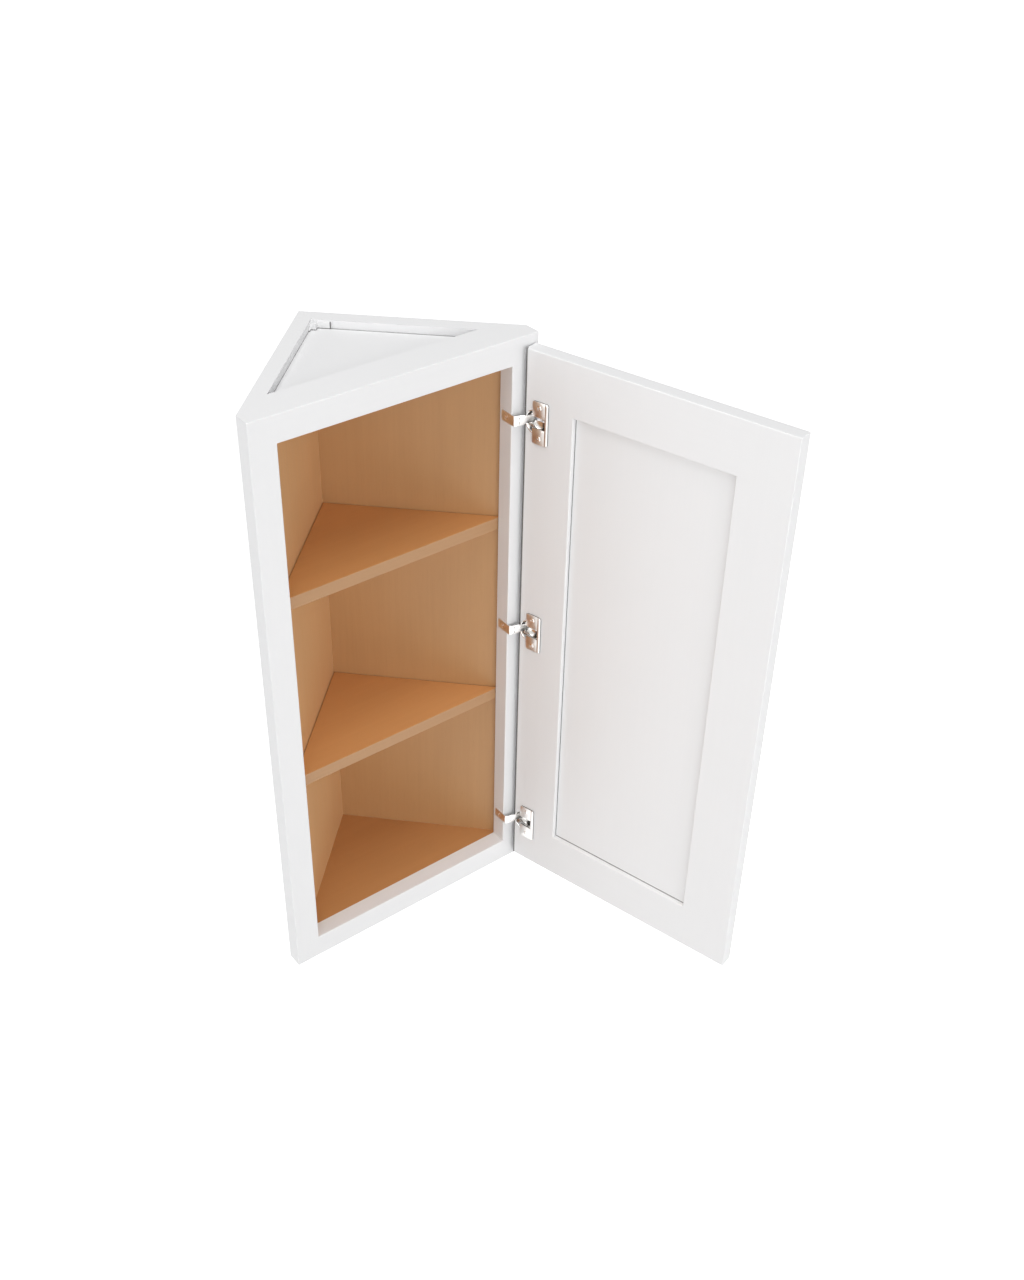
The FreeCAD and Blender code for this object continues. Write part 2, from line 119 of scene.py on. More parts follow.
class Value:
    """A shader socket that takes part in Python arithmetic."""

    def __init__(self, graph: "Graph", socket: bpy.types.NodeSocket) -> None:
        """Keep the graph and the socket."""
        self.graph = graph
        self.socket = socket

    def math(self, operation: str, first: "Term", second: "Term", clamp: bool = False) -> "Value":
        """Add one Math node.

        Args:
            operation: the node's operation.
            first: its first number or socket.
            second: its second number or socket.
            clamp: whether the result stays between 0 and 1.

        Returns:
            The node's result.
        """
        settings = {"operation": operation, "use_clamp": clamp}
        node = self.graph.add("ShaderNodeMath", settings, {0: first, 1: second})
        return self.graph.out(node, 0)

    def __add__(self, other: "Term") -> "Value":
        """Add."""
        return self.math("ADD", self, other)

    def __radd__(self, other: "Term") -> "Value":
        """Add, reflected."""
        return self.math("ADD", other, self)

    def __sub__(self, other: "Term") -> "Value":
        """Subtract."""
        return self.math("SUBTRACT", self, other)

    def __rsub__(self, other: "Term") -> "Value":
        """Subtract, reflected."""
        return self.math("SUBTRACT", other, self)

    def __mul__(self, other: "Term") -> "Value":
        """Multiply."""
        return self.math("MULTIPLY", self, other)

    def __rmul__(self, other: "Term") -> "Value":
        """Multiply, reflected."""
        return self.math("MULTIPLY", other, self)

    def clamped(self) -> "Value":
        """Hold the value between 0 and 1."""
        return self.math("MULTIPLY", self, 1.0, True)

    def above(self, edge: float, width: float) -> "Value":
        """Give a mask that rises from 0 to 1 over width, starting at edge."""
        return ((self - edge) * (1.0 / width)).clamped()

    def largest(self, other: "Term") -> "Value":
        """Give the larger of two values."""
        return self.math("MAXIMUM", self, other)


Term = Union[Value, float]


class Graph:
    """A node tree that is filled one node at a time."""

    def __init__(self, tree: bpy.types.NodeTree) -> None:
        """Start from an empty tree."""
        self.tree = tree
        tree.nodes.clear()

    def add(self, kind: str, settings: dict[str, object], inputs: dict) -> bpy.types.Node:
        """Add a node.

        Args:
            kind: the node's type.
            settings: its own settings, set before the sockets.
            inputs: values or links of its sockets, by name or number.

        Returns:
            The node.
        """
        node = self.tree.nodes.new(kind)
        for name, setting in settings.items():
            setattr(node, name, setting)
        for key, given in inputs.items():
            if isinstance(given, Value):
                self.tree.links.new(given.socket, node.inputs[key])
            else:
                node.inputs[key].default_value = given
        return node

    def out(self, node: bpy.types.Node, key: Union[str, int]) -> Value:
        """Wrap one output of a node."""
        return Value(self, node.outputs[key])

    def coordinates(self) -> Value:
        """Give the object coordinates, which are the cabinet's own frame."""
        return self.out(self.add("ShaderNodeTexCoord", {}, {}), "Object")

    def axis(self, coordinates: Value, axis: Axis) -> Value:
        """Give one component of a vector."""
        node = self.add("ShaderNodeSeparateXYZ", {}, {0: coordinates})
        return self.out(node, axis.value)

    def stretched(self, coordinates: Value, turn: float, scale: Triple) -> Value:
        """Turn a pattern about the upright axis and stretch it.

        Args:
            coordinates: where the pattern is read.
            turn: the turn in degrees.
            scale: repeats per metre along the turned axes.

        Returns:
            The coordinates to read the pattern at.
        """
        rotation = (0.0, 0.0, math.radians(-turn))
        along = self.out(self.add("ShaderNodeMapping", {}, {"Vector": coordinates, "Rotation": rotation}), 0)
        return self.out(self.add("ShaderNodeMapping", {}, {"Vector": along, "Scale": scale}), 0)

    def noise(self, coordinates: Value, scale: float, detail: float, distortion: float = 0.0) -> Value:
        """Give a noise value around one half."""
        inputs = {"Vector": coordinates, "Scale": scale, "Detail": detail, "Distortion": distortion}
        return self.out(self.add("ShaderNodeTexNoise", {}, inputs), 0)

    def blend(self, factor: Value, first: Union[Value, Colour], second: Union[Value, Colour]) -> Value:
        """Mix two colours by a factor, through the node's colour sockets 6 and 7 and colour output 2."""
        node = self.add("ShaderNodeMix", {"data_type": "RGBA"}, {0: factor, 6: first, 7: second})
        return self.out(node, 2)

    def bump(self, height: Value, distance: float) -> Value:
        """Turn a height between 0 and 1 into a normal, at a relief in metres."""
        node = self.add("ShaderNodeBump", {}, {"Height": height, "Distance": distance, "Strength": 1.0})
        return self.out(node, 0)

    def surface(self, inputs: dict) -> None:
        """Close the tree with a Principled surface."""
        shader = self.add("ShaderNodeBsdfPrincipled", {}, inputs)
        self.add("ShaderNodeOutputMaterial", {}, {"Surface": self.out(shader, 0)})


@dataclass(frozen=True)
class Look:
    """What a finish gives the shader: its colour, roughness and height."""

    colour: Value
    roughness: Value
    height: Value


@dataclass(frozen=True)
class Grain:
    """A noise drawn out along the grain, in repeats per metre across it and along it."""

    across: float
    along: float
    detail: float
    distortion: float = 0.0

    def value(self, graph: Graph, where: Value, turn: float, upright: bool) -> Value:
        """Read the grain.

        Args:
            graph: the material's tree.
            where: the coordinates to read it at.
            turn: how far the board is turned about the upright axis, in degrees.
            upright: whether the grain runs up the board and not along it.

        Returns:
            A value around one half.
        """
        scale = (self.across, self.across, self.along)
        if not upright:
            scale = (self.along, self.across, self.across)
        return graph.noise(graph.stretched(where, turn, scale), 1.0, self.detail, self.distortion)


# Finishes


def shaded(colour: Colour, factor: float) -> Colour:
    """Make a colour lighter or darker."""
    return (colour[0] * factor, colour[1] * factor, colour[2] * factor, 1.0)


@dataclass(frozen=True)
class PaintFinish:
    """Sprayed satin paint on sanded wood, with a trace of the grain below."""

    colour: Colour
    turn: float = 0.0
    upright_grain: bool = True
    grain: Grain = Grain(260.0, 5.0, 4.0)
    cloud_scale: float = 5.0
    peel_scale: float = 700.0
    spray_detail: float = 2.0
    grain_tone: float = 0.45
    darkest: float = 0.975
    lightest: float = 1.015
    roughness: float = 0.36
    cloud_roughness: float = 0.1
    grain_roughness: float = 0.06
    peel_height: float = 0.6
    relief: float = 0.00006

    def look(self, graph: Graph) -> Look:
        """Describe the paint's surface.

        Args:
            graph: the material's tree.

        Returns:
            The paint's look.
        """
        where = graph.coordinates()
        grain = self.grain.value(graph, where, self.turn, self.upright_grain)
        cloud = graph.noise(where, self.cloud_scale, self.spray_detail)
        peel = graph.noise(where, self.peel_scale, self.spray_detail)
        tone = (grain * self.grain_tone + cloud * (1.0 - self.grain_tone)).clamped()
        colour = graph.blend(tone, shaded(self.colour, self.darkest), shaded(self.colour, self.lightest))
        roughness = self.roughness + cloud * self.cloud_roughness + grain * self.grain_roughness
        height = peel * self.peel_height + grain * (1.0 - self.peel_height)
        return Look(colour, roughness, height)


@dataclass(frozen=True)
class WoodFinish:
    """Clear lacquered veneer with a fine straight grain."""

    light: Colour
    dark: Colour
    turn: float = 0.0
    upright_grain: bool = True
    fibre: Grain = Grain(170.0, 5.0, 5.0, 0.4)
    figure: Grain = Grain(14.0, 0.9, 3.0, 1.2)
    pore: Grain = Grain(900.0, 40.0, 2.0)
    pore_start: float = 0.62
    pore_edge: float = 0.1
    fibre_tone: float = 0.5
    figure_tone: float = 0.6
    pore_tone: float = 0.16
    roughness: float = 0.42
    fibre_roughness: float = 0.14
    pore_roughness: float = 0.08
    fibre_height: float = 0.7
    pore_depth: float = 0.3
    relief: float = 0.00008

    def look(self, graph: Graph) -> Look:
        """Describe the veneer's surface.

        Args:
            graph: the material's tree.

        Returns:
            The veneer's look.
        """
        where = graph.coordinates()
        fibre = self.fibre.value(graph, where, self.turn, self.upright_grain)
        figure = self.figure.value(graph, where, self.turn, self.upright_grain)
        pores = self.pore.value(graph, where, self.turn, self.upright_grain)
        pore = pores.above(self.pore_start, self.pore_edge)
        tone = (fibre * self.fibre_tone + figure * self.figure_tone - pore * self.pore_tone).clamped()
        colour = graph.blend(tone, self.dark, self.light)
        roughness = self.roughness + fibre * self.fibre_roughness + pore * self.pore_roughness
        height = fibre * self.fibre_height - pore * self.pore_depth + self.pore_depth
        return Look(colour, roughness, height)


@dataclass(frozen=True)
class InsideFace:
    """Where a panel shows wood: beyond one plane, between two heights."""

    axis: Axis
    plane: float
    sign: float
    low: float
    high: float
    softness: float = 0.0001

    def mask(self, graph: Graph) -> Value:
        """Find the inside face.

        Args:
            graph: the material's tree.

        Returns:
            1 on the inside face and 0 elsewhere.
        """
        where = graph.coordinates()
        beyond = (graph.axis(where, self.axis) * self.sign).above(self.plane * self.sign, self.softness)
        height = graph.axis(where, Axis.UP)
        over = height.above(self.low, self.softness)
        under = 1.0 - height.above(self.high, self.softness)
        return beyond * over * under


@dataclass(frozen=True)
class CutEdge:
    """Where a level board shows its edge: between its two faces."""

    low: float
    high: float
    softness: float = 0.0001

    def mask(self, graph: Graph) -> Value:
        """Find the edge.

        Args:
            graph: the material's tree.

        Returns:
            1 on the edge and 0 on both faces.
        """
        height = graph.axis(graph.coordinates(), Axis.UP)
        over = height.above(self.low + self.softness, self.softness)
        under = 1.0 - height.above(self.high - 2.0 * self.softness, self.softness)
        return over * under


@dataclass(frozen=True)
class ShadeLine:
    """A thin painted shade line beside an edge where two boards meet, standing in for the shadow there.

    The line lies on the side of the edge that the sign points to. It is full over its core, a share of
    its width, and then fades out.
    """

    axis: Axis
    edge: float
    sign: float
    turn: float = 0.0
    width: float = 0.0016
    core: float = 0.3

    def mask(self, graph: Graph) -> Value:
        """Find the line.

        Args:
            graph: the material's tree.

        Returns:
            1 at the edge and 0 beyond the line.
        """
        where = graph.stretched(graph.coordinates(), self.turn, (1.0, 1.0, 1.0))
        inward = graph.axis(where, self.axis) * self.sign
        full = self.core * self.width
        return 1.0 - inward.above(self.edge * self.sign + full, self.width - full)


@dataclass(frozen=True)
class ShadeLines:
    """All the painted shade lines of one board."""

    lines: tuple[ShadeLine, ...]

    def mask(self, graph: Graph) -> Value:
        """Find all the lines.

        Args:
            graph: the material's tree.

        Returns:
            1 where any of the lines is.
        """
        total = self.lines[0].mask(graph)
        for line in self.lines[1:]:
            total = total.largest(line.mask(graph))
        return total


@dataclass(frozen=True)
class PaintedShadeCorner:
    """Painted shade on a corner between two faces of a board, where two shade lines overlap."""

    first: ShadeLine
    second: ShadeLine

    def mask(self, graph: Graph) -> Value:
        """Give 1 where both lines are."""
        return self.first.mask(graph) * self.second.mask(graph)


Region = Union[InsideFace, CutEdge, ShadeLine, ShadeLines, PaintedShadeCorner]


@dataclass(frozen=True)
class PanelFinish:
    """A piece with one finish, and another one where a region says so."""

    outer: "Finish"
    inner: "Finish"
    region: Region
    relief: float = 0.00007

    def look(self, graph: Graph) -> Look:
        """Describe both finishes of the piece.

        Args:
            graph: the material's tree.

        Returns:
            The look that changes at the region's edge.
        """
        mask = self.region.mask(graph)
        outer = self.outer.look(graph)
        inner = self.inner.look(graph)
        colour = graph.blend(mask, outer.colour, inner.colour)
        roughness = outer.roughness + (inner.roughness - outer.roughness) * mask
        height = outer.height + (inner.height - outer.height) * mask
        return Look(colour, roughness, height)


@dataclass(frozen=True)
class SteelFinish:
    """Plated or bare steel with faint drawing marks."""

    colour: Colour
    roughness: float
    marks: float
    drawn: Grain = Grain(1800.0, 120.0, 2.0)
    smear_scale: float = 90.0
    smear_detail: float = 3.0
    smear_tone: float = 0.94
    smear_roughness: float = 0.06
    relief: float = 0.00001

    def look(self, graph: Graph) -> Look:
        """Describe the metal's surface.

        Args:
            graph: the material's tree.

        Returns:
            The metal's look.
        """
        where = graph.coordinates()
        smear = graph.noise(where, self.smear_scale, self.smear_detail)
        lines = self.drawn.value(graph, where, FACE_TURN, True)
        colour = graph.blend(smear, shaded(self.colour, self.smear_tone), self.colour)
        roughness = self.roughness + smear * self.smear_roughness + lines * self.marks
        return Look(colour, roughness, lines)


@dataclass(frozen=True)
class PlasticFinish:
    """Moulded plastic with a fine matt texture."""

    colour: Colour
    grit_scale: float = 1500.0
    flow_scale: float = 60.0
    detail: float = 2.0
    flow_tone: float = 0.96
    roughness: float = 0.45
    grit_roughness: float = 0.12
    relief: float = 0.00005

    def look(self, graph: Graph) -> Look:
        """Describe the plastic's surface.

        Args:
            graph: the material's tree.

        Returns:
            The plastic's look.
        """
        where = graph.coordinates()
        grit = graph.noise(where, self.grit_scale, self.detail)
        flow = graph.noise(where, self.flow_scale, self.detail)
        colour = graph.blend(flow, shaded(self.colour, self.flow_tone), self.colour)
        roughness = self.roughness + grit * self.grit_roughness
        return Look(colour, roughness, grit)


Finish = Union[PaintFinish, WoodFinish, PanelFinish, SteelFinish, PlasticFinish]


def start_material(name: str) -> tuple[Material, Graph]:
    """Start a material with an empty tree.

    Args:
        name: the material's name.

    Returns:
        The material and its tree.
    """
    material = bpy.data.materials.new(name)
    material.use_nodes = True
    return material, Graph(material.node_tree)


def make_material(name: str, finish: Finish) -> Material:
    """Make the procedural material of a finish.

    Args:
        name: the material's name.
        finish: what it shows.

    Returns:
        The material.
    """
    material, graph = start_material(name)
    look = finish.look(graph)
    base = finish.outer if isinstance(finish, PanelFinish) else finish
    graph.surface({
        "Base Color": look.colour,
        "Roughness": look.roughness,
        "Normal": graph.bump(look.height, finish.relief),
        "Metallic": 1.0 if isinstance(base, SteelFinish) else 0.0,
    })
    return material


WHITE: Colour = (0.818, 0.818, 0.823, 1.0)
BACK_LIGHT: Colour = (0.505, 0.282, 0.125, 1.0)
BACK_DARK: Colour = (0.415, 0.22, 0.091, 1.0)
SIDE_LIGHT: Colour = (0.66, 0.392, 0.19, 1.0)
SIDE_DARK: Colour = (0.55, 0.31, 0.14, 1.0)
BOARD_LIGHT: Colour = (0.68, 0.338, 0.128, 1.0)
BOARD_DARK: Colour = (0.585, 0.278, 0.098, 1.0)
BOTTOM_LIGHT: Colour = (0.55, 0.265, 0.099, 1.0)
BOTTOM_DARK: Colour = (0.465, 0.218, 0.076, 1.0)
EDGE_LIGHT: Colour = (0.47, 0.268, 0.135, 1.0)
EDGE_DARK: Colour = (0.395, 0.217, 0.1, 1.0)
NICKEL: Colour = (0.86, 0.85, 0.83, 1.0)
ARM_NICKEL: Colour = (0.92, 0.91, 0.9, 1.0)
SATIN_NICKEL: Colour = (0.74, 0.72, 0.7, 1.0)
SPRING: Colour = (0.58, 0.58, 0.6, 1.0)
MOULDED_WHITE: Colour = (0.8, 0.8, 0.805, 1.0)
# Colour of the painted shade lines that stand in for contact shadows in corners, gaps and at the feet of
# parts.
PAINTED_SHADE: Colour = (0.1, 0.098, 0.095, 1.0)
FLOOR_WHITE: Colour = (0.8, 0.8, 0.8, 1.0)
LIT: Colour = (1.0, 1.0, 1.0, 1.0)
UNLIT: Colour = (0.0, 0.0, 0.0, 1.0)


# Meshes


def weld(mesh: Mesh) -> None:
    """Merge the vertices that lie in one place."""
    bmesh.ops.remove_doubles(mesh, verts=mesh.verts, dist=WELD_DISTANCE)


def face_outwards(mesh: Mesh) -> None:
    """Point all the faces out of the shape."""
    bmesh.ops.recalc_face_normals(mesh, faces=mesh.faces)


def only(items: list, kind: type) -> list:
    """Keep the items of one kind."""
    return [item for item in items if isinstance(item, kind)]


def turned(degrees: float, axis: str) -> Matrix:
    """Give a turn about an axis."""
    return Matrix.Rotation(math.radians(degrees), 4, axis)


def add_block(mesh: Mesh, low: Vector, high: Vector) -> None:
    """Add a box between two corners.

    Args:
        mesh: what the box is added to.
        low: its lowest corner.
        high: its highest corner.
    """
    middle = Matrix.Translation((low + high) / 2.0)
    size = Matrix.Diagonal((*(high - low), 1.0))
    bmesh.ops.create_cube(mesh, size=1.0, matrix=middle @ size)


def ease(mesh: Mesh, edges: list[Edge], width: float, segments: int) -> None:
    """Round edges by a small width."""
    bmesh.ops.bevel(mesh, geom=edges, offset=width, offset_type="OFFSET", affect="EDGES", segments=segments,
                    profile=0.5, material=-1, clamp_overlap=True)


def ease_sharp(mesh: Mesh, width: float, angle: float = 40.0) -> None:
    """Round every edge that is sharper than an angle in degrees."""
    sharp = [edge for edge in mesh.edges if edge.is_manifold and edge.calc_face_angle() > math.radians(angle)]
    ease(mesh, sharp, width, EDGE_SEGMENTS)


def upright_edges(mesh: Mesh, x: float) -> list[Edge]:
    """Find the edges along the local Z axis that stand at one place along the local X axis.

    Args:
        mesh: the shape.
        x: the place.

    Returns:
        The edges.
    """
    found = []
    for edge in mesh.edges:
        first, second = (vert.co for vert in edge.verts)
        at_place = max(abs(first.x - x), abs(second.x - x)) < HAIR
        if at_place and abs(first.y - second.y) < HAIR:
            found.append(edge)
    return found


def spin(mesh: Mesh, geom: list, centre: Triple, angle: float, steps: int, merge: bool = False) -> list:
    """Spin vertices and edges about an axis along the local Z axis.

    Args:
        mesh: what they are part of.
        geom: the vertices and edges.
        centre: a point of the axis.
        angle: how far they turn, in degrees.
        steps: the number of steps.
        merge: whether the end joins the start.

    Returns:
        What lies at the end of the spin.
    """
    made = bmesh.ops.spin(mesh, geom=geom, cent=centre, axis=(0, 0, 1), dvec=(0, 0, 0),
                          angle=math.radians(angle), steps=steps, use_merge=merge, use_normal_flip=False,
                          use_duplicate=False)
    return made["geom_last"]


def add_turned(mesh: Mesh, profile: list[Point], start: float, sweep: float, steps: int) -> None:
    """Add a shape turned about the local Z axis.

    Args:
        mesh: what the shape is added to.
        profile: pairs of radius and height; it is closed when its ends meet.
        start: the angle in degrees where the turning starts.
        sweep: how far it turns, in degrees; a full turn closes it.
        steps: the number of steps.
    """
    turn = Matrix.Rotation(math.radians(start), 3, "Z")
    points = [mesh.verts.new(turn @ Vector((radius, 0.0, height))) for radius, height in profile]
    closed = profile[0] == profile[-1]
    if closed:
        mesh.verts.remove(points.pop())
    edges = [mesh.edges.new(pair) for pair in zip(points, points[1:])]
    if closed:
        edges.append(mesh.edges.new((points[-1], points[0])))
    full = math.isclose(sweep, FULL_TURN)
    if closed and not full:
        mesh.faces.new(points)
    last = spin(mesh, points + edges, (0, 0, 0), sweep, steps, full)
    if closed and not full:
        bmesh.ops.contextual_create(mesh, geom=only(last, Edge))


def add_plate(mesh: Mesh, outline: list[Point], low: float, high: float) -> None:
    """Add a flat plate by raising an outline along the local Z axis.

    Args:
        mesh: what the plate is added to.
        outline: the corners of the outline.
        low: the height of its lower face.
        high: the height of its upper face.
    """
    base = mesh.faces.new([mesh.verts.new((x, y, low)) for x, y in outline])
    made = bmesh.ops.extrude_face_region(mesh, geom=[base], use_keep_orig=True)
    bmesh.ops.translate(mesh, verts=only(made["geom"], Vertex), vec=(0, 0, high - low))


@dataclass
class SheetStrip:
    """A strip of sheet metal that is bent as it is drawn, seen along its edge, in millimetres."""

    width: float
    thickness: float
    edge_share: float = 0.22
    edge_angle: float = 50.0
    mesh: Mesh = field(default_factory=bmesh.new)
    front: list[Edge] = field(default_factory=list)

    def begin(self, x: float, y: float) -> None:
        """Start the strip at a point of its middle line.

        Args:
            x: the point's place along the local X axis.
            y: the point's place along the local Y axis.
        """
        half = self.width / 2.0
        ends = [self.mesh.verts.new((x, y, z)) for z in (-half, 0.0, half)]
        self.front = [self.mesh.edges.new(pair) for pair in zip(ends, ends[1:])]

    def run(self, x: float, y: float) -> None:
        """Lengthen the strip by a straight run.

        Args:
            x: how far it runs along the local X axis.
            y: how far it runs along the local Y axis.
        """
        made = bmesh.ops.extrude_edge_only(self.mesh, edges=self.front)["geom"]
        ends = only(made, Vertex)
        bmesh.ops.translate(self.mesh, verts=ends, vec=(x, y, 0))
        self.front = [edge for edge in self.mesh.edges if set(edge.verts) <= set(ends)]

    def bend(self, x: float, y: float, angle: float, steps: int) -> None:
        """Lengthen the strip by a bend about a point.

        Args:
            x: the point's place along the local X axis.
            y: the point's place along the local Y axis.
            angle: how far it bends, in degrees.
            steps: the number of steps.
        """
        points = list(dict.fromkeys(vert for edge in self.front for vert in edge.verts))
        self.front = only(spin(self.mesh, points + self.front, (x, y, 0), angle, steps), Edge)

    def narrow(self, share: Callable[[float, float], float]) -> None:
        """Scale the strip's width by a share that depends on the place."""
        for vert in self.mesh.verts:
            vert.co.z *= share(vert.co.x, vert.co.y)

    def finish(self) -> Mesh:
        """Give the strip its thickness, equally to both sides, and round its edges.

        Returns:
            The finished shape.
        """
        weld(self.mesh)
        face_outwards(self.mesh)
        self.mesh.normal_update()
        for vert in self.mesh.verts:
            vert.co -= vert.normal * (self.thickness / 2.0)
        bmesh.ops.solidify(self.mesh, geom=self.mesh.faces[:], thickness=-self.thickness)
        face_outwards(self.mesh)
        ease_sharp(self.mesh, self.thickness * self.edge_share, self.edge_angle)
        return self.mesh


@dataclass
class CrossScrew:
    """A domed screw with a cross recess, in millimetres; its head seats at z = 0 and points along +Z."""

    head_radius: float = 3.3
    head_height: float = 1.8
    rim_share: float = 0.2
    dome_angles: tuple[float, ...] = (72.0, 58.0, 44.0, 30.0, 15.0)
    crown_share: float = 0.35
    shank_radius: float = 1.5
    reach: float = 9.0
    point_length: float = 2.5
    recess_width: float = 0.9
    recess_length: float = 3.4
    recess_depth: float = 1.0
    steps: int = 32

    def shape(self) -> Mesh:
        """Turn the screw and press its recess.

        Returns:
            The screw's shape.
        """
        mesh = bmesh.new()
        dome = [(self.head_radius * math.sin(math.radians(a)), self.head_height * math.cos(math.radians(a)))
                for a in self.dome_angles]
        profile = [(0.0, -self.reach), (self.shank_radius, -self.reach + self.point_length),
                   (self.shank_radius, 0.0), (self.head_radius, 0.0),
                   (self.head_radius, self.rim_share * self.head_height), *dome, (0.0, self.head_height)]
        add_turned(mesh, profile, 0.0, FULL_TURN, self.steps)
        weld(mesh)
        self.press_recess(mesh)
        return mesh

    def on_crown(self, place: Vector) -> bool:
        """Tell whether a place lies on the upper part of the head."""
        return place.z > self.head_height * self.crown_share

    def in_cross(self, place: Vector) -> bool:
        """Tell whether a place lies inside the cross.

        Args:
            place: a place on the head.

        Returns:
            Whether one of the cross's two bars covers it.
        """
        short, long = sorted((abs(place.x), abs(place.y)))
        return self.on_crown(place) and short < self.recess_width / 2.0 and long < self.recess_length / 2.0

    def press_recess(self, mesh: Mesh) -> None:
        """Cut the cross into the top of the head and push it down.

        Args:
            mesh: the turned screw.
        """
        half_width = self.recess_width / 2.0
        half_length = self.recess_length / 2.0
        for axis in (Vector((1, 0, 0)), Vector((0, 1, 0))):
            for offset in (-half_length, -half_width, half_width, half_length):
                head = [face for face in mesh.faces if self.on_crown(face.calc_center_median())]
                around = list(dict.fromkeys(item for face in head for item in (*face.verts, *face.edges)))
                bmesh.ops.bisect_plane(mesh, geom=head + around, plane_co=axis * offset, plane_no=axis)
        pressed = [face for face in mesh.faces if self.in_cross(face.calc_center_median())]
        made = bmesh.ops.extrude_face_region(mesh, geom=pressed)
        moved = only(made["geom"], Vertex)
        bmesh.ops.delete(mesh, geom=[face for face in pressed if face.is_valid], context="FACES_ONLY")
        bmesh.ops.translate(mesh, verts=moved, vec=(0, 0, -self.recess_depth))


# Pieces


def put_in_scene(name: str, data: bpy.types.ID) -> bpy.types.Object:
    """Make an object and link it to the scene.

    Args:
        name: the object's name.
        data: its mesh, lamp or camera.

    Returns:
        The object.
    """
    made = bpy.data.objects.new(name, data)
    bpy.context.scene.collection.objects.link(made)
    return made


@dataclass
class Piece:
    """One finished piece of the visual model."""

    name: str
    body: Body
    slot: Slot
    material: Material
    stands_for: tuple[str, ...] = ()
    smooth_angle: float = 35.0

    def publish(self, mesh: Mesh, place: Matrix) -> None:
        """Turn a modelled shape into an object that rides on its body.

        Args:
            mesh: the shape in its own axes, in millimetres.
            place: where those axes lie in the cabinet's frame, in millimetres.
        """
        weld(mesh)
        bmesh.ops.transform(mesh, matrix=Matrix.Scale(MM, 4) @ place, verts=mesh.verts)
        face_outwards(mesh)
        data = bpy.data.meshes.new(self.name)
        mesh.to_mesh(data)
        mesh.free()
        data.shade_smooth()
        data.set_sharp_from_angle(angle=math.radians(self.smooth_angle))
        data.materials.append(self.material)
        piece = put_in_scene(self.name, data)
        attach(piece, self.body.value)
        if self.stands_for:
            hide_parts(*self.stands_for)
        log.info("piece %s on %s", self.name, self.body.value)


def dress(node: str, material: Material) -> None:
    """Give a node of the frame its material.

    Args:
        node: the node's name.
        material: what it wears.
    """
    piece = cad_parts[node]
    for slot in piece.material_slots:
        slot.material = material
    log.info("node %s wears %s", node, material.name)


def span(node: str, turn: float) -> Point:
    """Measure a node along a level direction.

    Args:
        node: the node's name.
        turn: the direction, turned from the X axis in degrees.

    Returns:
        Where the node starts and ends.
    """
    along = Vector((math.cos(math.radians(turn)), math.sin(math.radians(turn)), 0.0))
    places = [vert.co.dot(along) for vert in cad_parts[node].data.vertices]
    return min(places), max(places)


# Sub-assemblies


@dataclass
class Palette:
    """The materials that the sub-assemblies share."""

    frame_upright: Material
    frame_level: Material
    door_upright: Material
    door_level: Material
    nickel: Material
    arm_nickel: Material
    satin_nickel: Material
    spring: Material


def plate_finish() -> PanelFinish:
    """Describe the hinge plates: satin nickel, with a painted shade line where they lie on the open door.

    Returns:
        The finish.
    """
    door_face = span("door_hinge_stile", DOOR_TURN + QUARTER_TURN)[1]
    # Painted shade along the plates' foot on the door, standing in for their contact shadow.
    foot = ShadeLine(Axis.DEPTH, door_face, 1.0, DOOR_TURN, core=0.5)
    satin = SteelFinish(SATIN_NICKEL, roughness=0.24, marks=0.05)
    shade = SteelFinish(PAINTED_SHADE, roughness=0.24, marks=0.05)
    return PanelFinish(satin, shade, foot, satin.relief)


def make_palette() -> Palette:
    """Make the shared materials.

    Returns:
        The palette.
    """
    return Palette(
        frame_upright=make_material("frame_paint_upright", PaintFinish(WHITE, FACE_TURN)),
        frame_level=make_material("frame_paint_level", PaintFinish(WHITE, FACE_TURN, upright_grain=False)),
        door_upright=make_material("door_paint_upright", PaintFinish(WHITE, DOOR_TURN)),
        door_level=make_material("door_paint_level", PaintFinish(WHITE, DOOR_TURN, upright_grain=False)),
        nickel=make_material("bright_nickel", SteelFinish(NICKEL, roughness=0.1, marks=0.05)),
        arm_nickel=make_material("arm_nickel", SteelFinish(ARM_NICKEL, roughness=0.26, marks=0.05)),
        satin_nickel=make_material("satin_nickel", plate_finish()),
        spring=make_material("spring_steel", SteelFinish(SPRING, roughness=0.26, marks=0.12)),
    )


